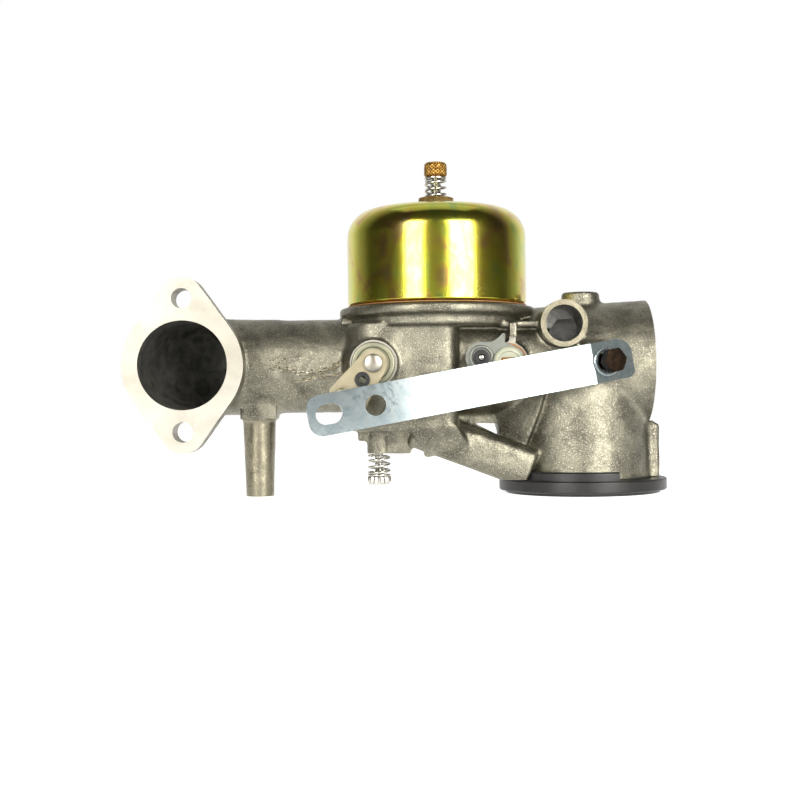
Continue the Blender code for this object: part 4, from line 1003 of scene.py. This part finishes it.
def build_throttle():
    x = THROTTLE_X
    face = span("throttle_dust_washer")[1].y
    profile = [(3.5, 0, 0.2), (6.85, 0, 0.3), (6.85, 1.3, 0.5), (5.4, 1.3, 0.3), (5.0, 1.05, 0.3)]
    profile += [(3.5, 1.05, 0.2)]
    washer = along_y("washer", profile, x, face, BORE_Z, 96, True)
    place(washer, "dust_washer", "root", "washer_zinc", "throttle_dust_washer")
    low, high = span("throttle_lever")
    back, front = high.y, low.y
    shaft = milled_shaft("shaft", x, back - 2.6, span("throttle_shaft")[1].y, 14.3)
    step = [(2.2, 0), (5, 0), (5, 4), (2.2, 4)]
    carve(shaft, along_y("step", step, x, back + 0.3, BORE_Z, closed=True))
    dome = [(0, 0), (2.9, 0), (2.9, 0.85, 0.35), *((r, y - 6.25) for r, y in arc((0, 0), 7.7, 70, 90, 8))]
    carve(shaft, along_y("rivet", dome, x, front - GAP, BORE_Z), operation="UNION")
    place(shaft, "throttle_spindle", "throttle", "satin", "throttle_shaft")
    circles = [(x, BORE_Z, 4.4), (x - 11.3, BORE_Z - 8.9, 2.4), (x - 5.2, BORE_Z - 13.7, 2.4)]
    plate = extrude("lever", hull_outline(circles), front, back, UPRIGHT)
    dimple = [(0, -0.8), (1.9, -0.8), (1.9, 0.05, 0.5), (1.0, 0.45, 0.5), (0, 0.5)]
    bushing = (x - 3.4, BORE_Z - 5.0)
    carve(plate, rod_y("hub", x, BORE_Z, -33, -20, 2.5), rod_y("hole", *bushing, -33, -20, 2.0))
    soften(plate, 0.55, 4)
    carve(plate, along_y("dimple", dimple, x - 9.9, front, BORE_Z - 9.3), operation="UNION")
    place(plate, "throttle_lever_plate", "throttle", "yellow_zinc", "throttle_lever")
    ring = "throttle_bushing_ring"
    place_bushing(ring, "throttle_lever_bushing", "throttle", bushing, front, 2.4, 0.9, 1.7, 2.1)


def build_choke():
    x = CHOKE_X
    face = span("choke_washer")[1].y
    profile = [(3.5, 0, 0.1), (6.2, 0, 0.2), (6.2, 0.8, 0.2), (3.5, 0.8, 0.1)]
    washer = along_y("washer", profile, x, face, BORE_Z, 96, True)
    place(washer, "choke_fibre_washer", "root", "fibre", "choke_washer")
    low, high = span("choke_lever")
    front, back = low.y, high.y
    hub_back = span("choke_hub")[1].y
    shaft = milled_shaft("shaft", x, back + GAP, span("choke_shaft")[1].y, 14.8)
    tang = block("tang", (x - 2.1, span("choke_shaft")[0].y, BORE_Z - 1.2), (x + 2.1, back + 1, BORE_Z + 1.2))
    carve(shaft, soften(tang, 0.2, 2), operation="UNION")
    place(shaft, "choke_spindle", "choke", "tang_brass", "choke_shaft")
    opening = (x - 2.4, -40, BORE_Z - 1.5), (x + 2.4, -18, BORE_Z + 1.5)
    profile = [(0, 0), (4.9, 0, 0.2), (4.9, 1.1, 0.5), (4.2, 1.9, 0.6), (3.5, 1.9, 0.2), (3.3, 1.6, 0.2)]
    profile += [(0, 1.6)]
    hub = carve(along_y("hub", profile, x, hub_back, BORE_Z, 96), block("tang_hole", *opening))
    place(hub, "choke_hub_cap", "choke", "cream", "choke_hub")
    lobe = (x - 8.6, BORE_Z + 1.6)
    outline = hull_outline([(x, BORE_Z, 5.4), (x - 1.5, BORE_Z + 2.5, 3.8), (*lobe, 5.0)])
    plate = extrude("lever", outline, front, back, UPRIGHT)
    horn = [(-8.6, 6.2), (-6.2, 6.3), (-4.6, 6.9), (-3.0, 8.0), (-1.8, 9.3), (-1.0, 9.0)]
    horn += [(-1.2, 4.0), (-6, 2)]
    outline = [(x + right, BORE_Z + up) for right, up in horn]
    carve(plate, extrude("horn", outline, front, back, UPRIGHT), operation="UNION")
    carve(plate, block("tang_hole", *opening), rod_y("hole", *lobe, -40, -15, 1.95))
    soften(plate, 0.3, 3)
    ridge = [(2.9, -0.4), (2.9, 0.1, 0.1), (3.2, 0.32, 0.2), (3.7, 0.32, 0.2), (4.0, 0.1, 0.1), (4.0, -0.4)]
    carve(plate, along_y("ridge", ridge, lobe[0], front, lobe[1], 64, True), operation="UNION")
    place(plate, "choke_lever_plate", "choke", "lever_zinc", "choke_lever")
    place_bushing("choke_bushing_ring", "choke_link_bushing", "choke", lobe, front, 2.6, 0.8, 1.65, 1.5)
    pin_low, pin_high = span("choke_link_pin")
    length = pin_high.y - pin_low.y
    profile = [(0, 0), (0.8, 0, 0.15), (0.8, length - 0.25, 0.3), (0, length)]
    pin = along_y("pin", profile, lobe[0], pin_high.y, lobe[1], 48)
    place(pin, "choke_pin", "choke", "steel", "choke_link_pin")


# ---- strap, seal, nipple and plugs ----
def bend_strap(strap):
    """Lay a flat strap in its two frames, with a small bend between them."""
    near, far = strap_frames()
    mesh_edit = bmesh.new()
    mesh_edit.from_mesh(strap.data)
    for step in range(-3, 4):
        everything = mesh_edit.verts[:] + mesh_edit.edges[:] + mesh_edit.faces[:]
        at = STRAP_BEND_AT + 0.25 * step
        bmesh.ops.bisect_plane(mesh_edit, geom=everything, plane_co=(at, 0, 0), plane_no=(1, 0, 0))
    for vert in mesh_edit.verts:
        share = min(max((vert.co.x - STRAP_BEND_AT) / 1.5 + 0.5, 0.0), 1.0)
        vert.co = (near @ vert.co).lerp(far @ vert.co, share)
    mesh_edit.to_mesh(strap.data)
    mesh_edit.free()
    return strap


def build_strap():
    start, end = STRAP_ENDS
    half, thick = STRAP_HALF, STRAP_THICK
    outline = [(end, half, 4.2), (start, half, 2.6), (start, -half, 5.0), (end, -half, 4.2)]
    strap = extrude("strap", rounded(outline, closed=True, steps=10), 0, thick, LEVEL)
    slot_half, slot_r = 1.0, 3.1
    slot = arc((STRAP_SLOT_AT + slot_half, 0), slot_r, 90, -90, 24)
    slot += arc((STRAP_SLOT_AT - slot_half, 0), slot_r, -90, -270, 24)
    holes = [extrude("slot", slot, -2, 4, LEVEL)]
    for along, radius in ((0, 3.3), (STRAP_HOLE_AT, 3.2)):
        holes.append(rod_z("hole", along, 0, -2, 4, radius))
    carve(strap, *holes)
    soften(strap, 0.25, 3)
    ridge = [(3.55, 1.0), (3.55, thick, 0.1), (3.75, thick + 0.35, 0.2), (4.35, thick + 0.35, 0.2)]
    ridge += [(4.7, thick, 0.1), (4.7, 1.0)]
    carve(strap, lathe("ridge", ridge, closed=True), operation="UNION")
    place(bend_strap(strap), "strap_bar", "strap", "zinc", "brace_strap")
    at = strap_frames()[0]
    out = at.col[2].xyz
    low, high = thick + 2.5, thick + GAP + 5.0
    head = [at @ Vector((x, y, low)) for x, y in arc((0, 0), 4.1, 0, 300, 5)]
    screw = loft("screw", [head, [p + out * (high - low) for p in head]])
    crown = [(0, low - 1), (5, low - 1), (5, high - 0.6), (3.3, high), (0, high)]
    carve(screw, lathe("crown", crown, at.translation, out, 96), operation="INTERSECT")
    shank = [(0, -7.5), (2.0, -7.5), (2.3, -7.1), (2.3, 0.2), (2.75, 0.2), (2.75, low + 0.5), (0, low + 0.5)]
    carve(screw, lathe("shank", shank, at.translation, out, 96), operation="UNION")
    place(soften(screw, 0.18, 2), "strap_bolt", "root", "dark", "strap_screw")


def build_seal():
    profile = [(SEAL_BORE_R, 0.0, 0.3), (25.4, 0.0, 0.35), (25.4, 0.95, 0.2), (SEAL_R, 0.95, 0.5)]
    profile += [(SEAL_R, 4.8, 0.5), (SEAL_BORE_R, 4.8, 0.3)]
    seal = lathe("seal", profile, segments=192, closed=True)
    inner, outer = COLLAR_R
    side = [(inner, 3.8), (outer, 3.8), (outer, 7.2, 0.4), (outer - 0.4, COLLAR_TOP_Z, 0.3)]
    side += [(inner + 0.4, COLLAR_TOP_Z, 0.3), (inner, 7.2, 0.4)]
    ring = rounded(side, closed=True, steps=3)
    sections, steps = [], 110
    for k in range(steps + 1):
        turn = math.radians(COLLAR_ARC[0] + (COLLAR_ARC[1] - COLLAR_ARC[0]) * k / steps)
        sections.append([(*polar((0, 0), r, turn), z) for r, z in ring])
    carve(seal, loft("collar", sections), operation="UNION")
    place(seal, "seal_ring", "root", "rubber", "air_cleaner_seal")


def build_nipple():
    profile = [(1.4, 20), (2.6, 20), (2.6, 28.4), (4.0, 28.4, 0.3), (4.0, 31, 0.3), (2.7, 31, 0.2)]
    for ridge in (35.2, 38.2, 41.2):
        profile += [(2.7, ridge - 0.3, 0.1), (3.4, ridge, 0.15), (2.7, ridge + 2.5, 0.4)]
    profile += [(2.5, 44, 0.2), (1.4, 44, 0.2)]
    nipple = lathe("nipple", profile, (BOWL_X, 0, INLET_Z), (0, 1, 0), 72, closed=True)
    place(nipple, "inlet_hose_nipple", "root", "brass", "fuel_inlet_nipple")


def build_plugs():
    face = HORN_END_X - 3 + GAP
    profile = [(0, 0), (17.6, 0, 0.4), (18.3, 0.5, 0.3), (18.3, 2.2, 0.3), (17.3, 2.2, 0.3), (16.6, 1.2, 0.8)]
    profile += [(9.0, 1.7, 3.0), (0, 1.9)]
    cup = lathe("cup", profile, (face, 0, BORE_Z), (1, 0, 0), 128)
    place(cup, "horn_cup_plug", "root", "steel", "air_horn_plug")
    low = span("idle_passage_plug")[0].y
    profile = [(0, 0), (4.0, 0, 0.1), (4.0, 0.8, 0.2), (2.0, 1.15, 1.0), (0, 1.2)]
    plug = lathe("plug", profile, (PLUG_X, low, PLUG_Z), (0, 1, 0), 72)
    place(plug, "passage_plug", "root", "steel", "idle_passage_plug")


def dress_hidden_pieces():
    """The pieces inside keep their CAD shape and get their finishes."""
    finishes = {
        "brass": ("main_nozzle", "inlet_seat", "throttle_disc"),
        "steel": ("float_hinge_pin", "inlet_needle", "throttle_disc_screw_1", "throttle_disc_screw_2",
                  "choke_disc_screw_1", "choke_disc_screw_2"),
        "plastic": ("float",), "zinc": ("choke_disc",),
    }
    for look, nodes in finishes.items():
        for node in nodes:
            mesh = frame["nodes"][node].data
            mesh.materials.clear()
            mesh.materials.append(LOOKS[look])


# ---- stage ----
def build_camera():
    data = bpy.data.cameras.new("camera")
    data.sensor_width = 36.0
    data.lens = 57.375
    data.clip_start = 0.01
    camera = linked("camera", data)
    roll = math.radians(0.65)
    right = Vector((math.cos(roll), 0, -math.sin(roll)))
    up, back = Vector((math.sin(roll), 0, math.cos(roll))), Vector((0, -1, 0))
    turn = Matrix((right, up, back)).transposed().to_4x4()
    camera.matrix_world = Matrix.Translation((-0.06046, -0.425, 0.03109)) @ turn
    bpy.context.scene.camera = camera


def softbox(name, centre, target, size, radiance, colour=(1.0, 1.0, 1.0)):
    """A rectangular light of a given brightness, aimed at a point."""
    data = bpy.data.lights.new(name, "AREA")
    data.shape = "RECTANGLE"
    data.size, data.size_y = size
    data.energy = math.pi * size[0] * size[1] * radiance
    data.color = colour
    lamp = linked(name, data)
    lamp.location = centre
    lamp.rotation_euler = (Vector(target) - Vector(centre)).to_track_quat("-Z", "Y").to_euler()
    lamp.visible_camera = False


def build_lights():
    middle = Vector((-0.05, 0.0, 0.05))
    reach = 0.95
    for name, turn, width, radiance in (("left", -29.5, 0.36, 10.0), ("right", 30.3, 0.51, 11.0)):
        angle = math.radians(turn)
        centre = middle + reach * Vector((math.sin(angle), -math.cos(angle), 0.16))
        softbox(name + "_softbox", centre, middle, (width, 0.95), radiance, (1.0, 0.975, 0.92))
    softbox("top_softbox", middle + Vector((0.0, 0.15, 0.9)), middle, (0.8, 0.5), 0.5)


def build_world():
    """White for the camera; for everything else white behind, dim at the sides and in front."""
    world = bpy.data.worlds.new("studio")
    bpy.context.scene.world = world
    world.use_nodes = True
    tree = world.node_tree
    around = tree.nodes.new("ShaderNodeTexCoord").outputs["Generated"]
    direction = add_node(tree, "ShaderNodeSeparateXYZ", {0: around})
    half = add_node(tree, "ShaderNodeMapRange", {"Value": direction.outputs["Y"], "From Min": -1.0})
    shade = add_node(tree, "ShaderNodeValToRGB", {"Fac": half.outputs[0]})
    greys = ((0.0, 0.10), (0.2, 0.04), (0.55, 0.03), (0.74, 0.4), (0.88, 1.0))
    fill_ramp(shade.color_ramp, [(position, (grey, grey * 0.985, grey * 0.96)) for position, grey in greys])
    seen = tree.nodes.new("ShaderNodeLightPath").outputs["Is Camera Ray"]
    white = (1.0, 1.0, 1.0, 1.0)
    mix = add_node(tree, "ShaderNodeMix", {0: seen, 6: shade.outputs["Color"], 7: white}, data_type="RGBA")
    tree.links.new(mix.outputs[2], tree.nodes["Background"].inputs["Color"])


def build_floor():
    mesh_edit = bmesh.new()
    side = 6.0
    corners = ((-side, -side), (side, -side), (side, side), (-side, side))
    mesh_edit.faces.new([mesh_edit.verts.new((x, y, 0.0)) for x, y in corners])
    floor = solid("floor", mesh_edit)
    paper = bpy.data.materials.new("white_paper")
    paper.use_nodes = True
    shader = paper.node_tree.nodes["Principled BSDF"]
    shader.inputs["Base Color"].default_value = (0.82, 0.82, 0.82, 1.0)
    shader.inputs["Roughness"].default_value = 0.9
    shader.inputs["Emission Color"].default_value = (1.0, 1.0, 1.0, 1.0)
    shader.inputs["Emission Strength"].default_value = 0.79
    floor.data.materials.append(paper)
    floor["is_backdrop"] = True


def write_sizes():
    boxes = {"cad": CAD_BOX, "visual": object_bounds()}
    plain = {name: [list(low), list(high)] for name, (low, high) in boxes.items()}


for build in (build_camera, build_world, build_lights, build_floor, build_casting, flash_crumbs, build_bowl,
              build_nut, build_high_speed, build_idle, build_throttle, build_choke, build_strap, build_seal,
              build_nipple, build_plugs, dress_hidden_pieces):
    build()
bpy.context.scene.view_settings.view_transform = "Standard"
write_sizes()
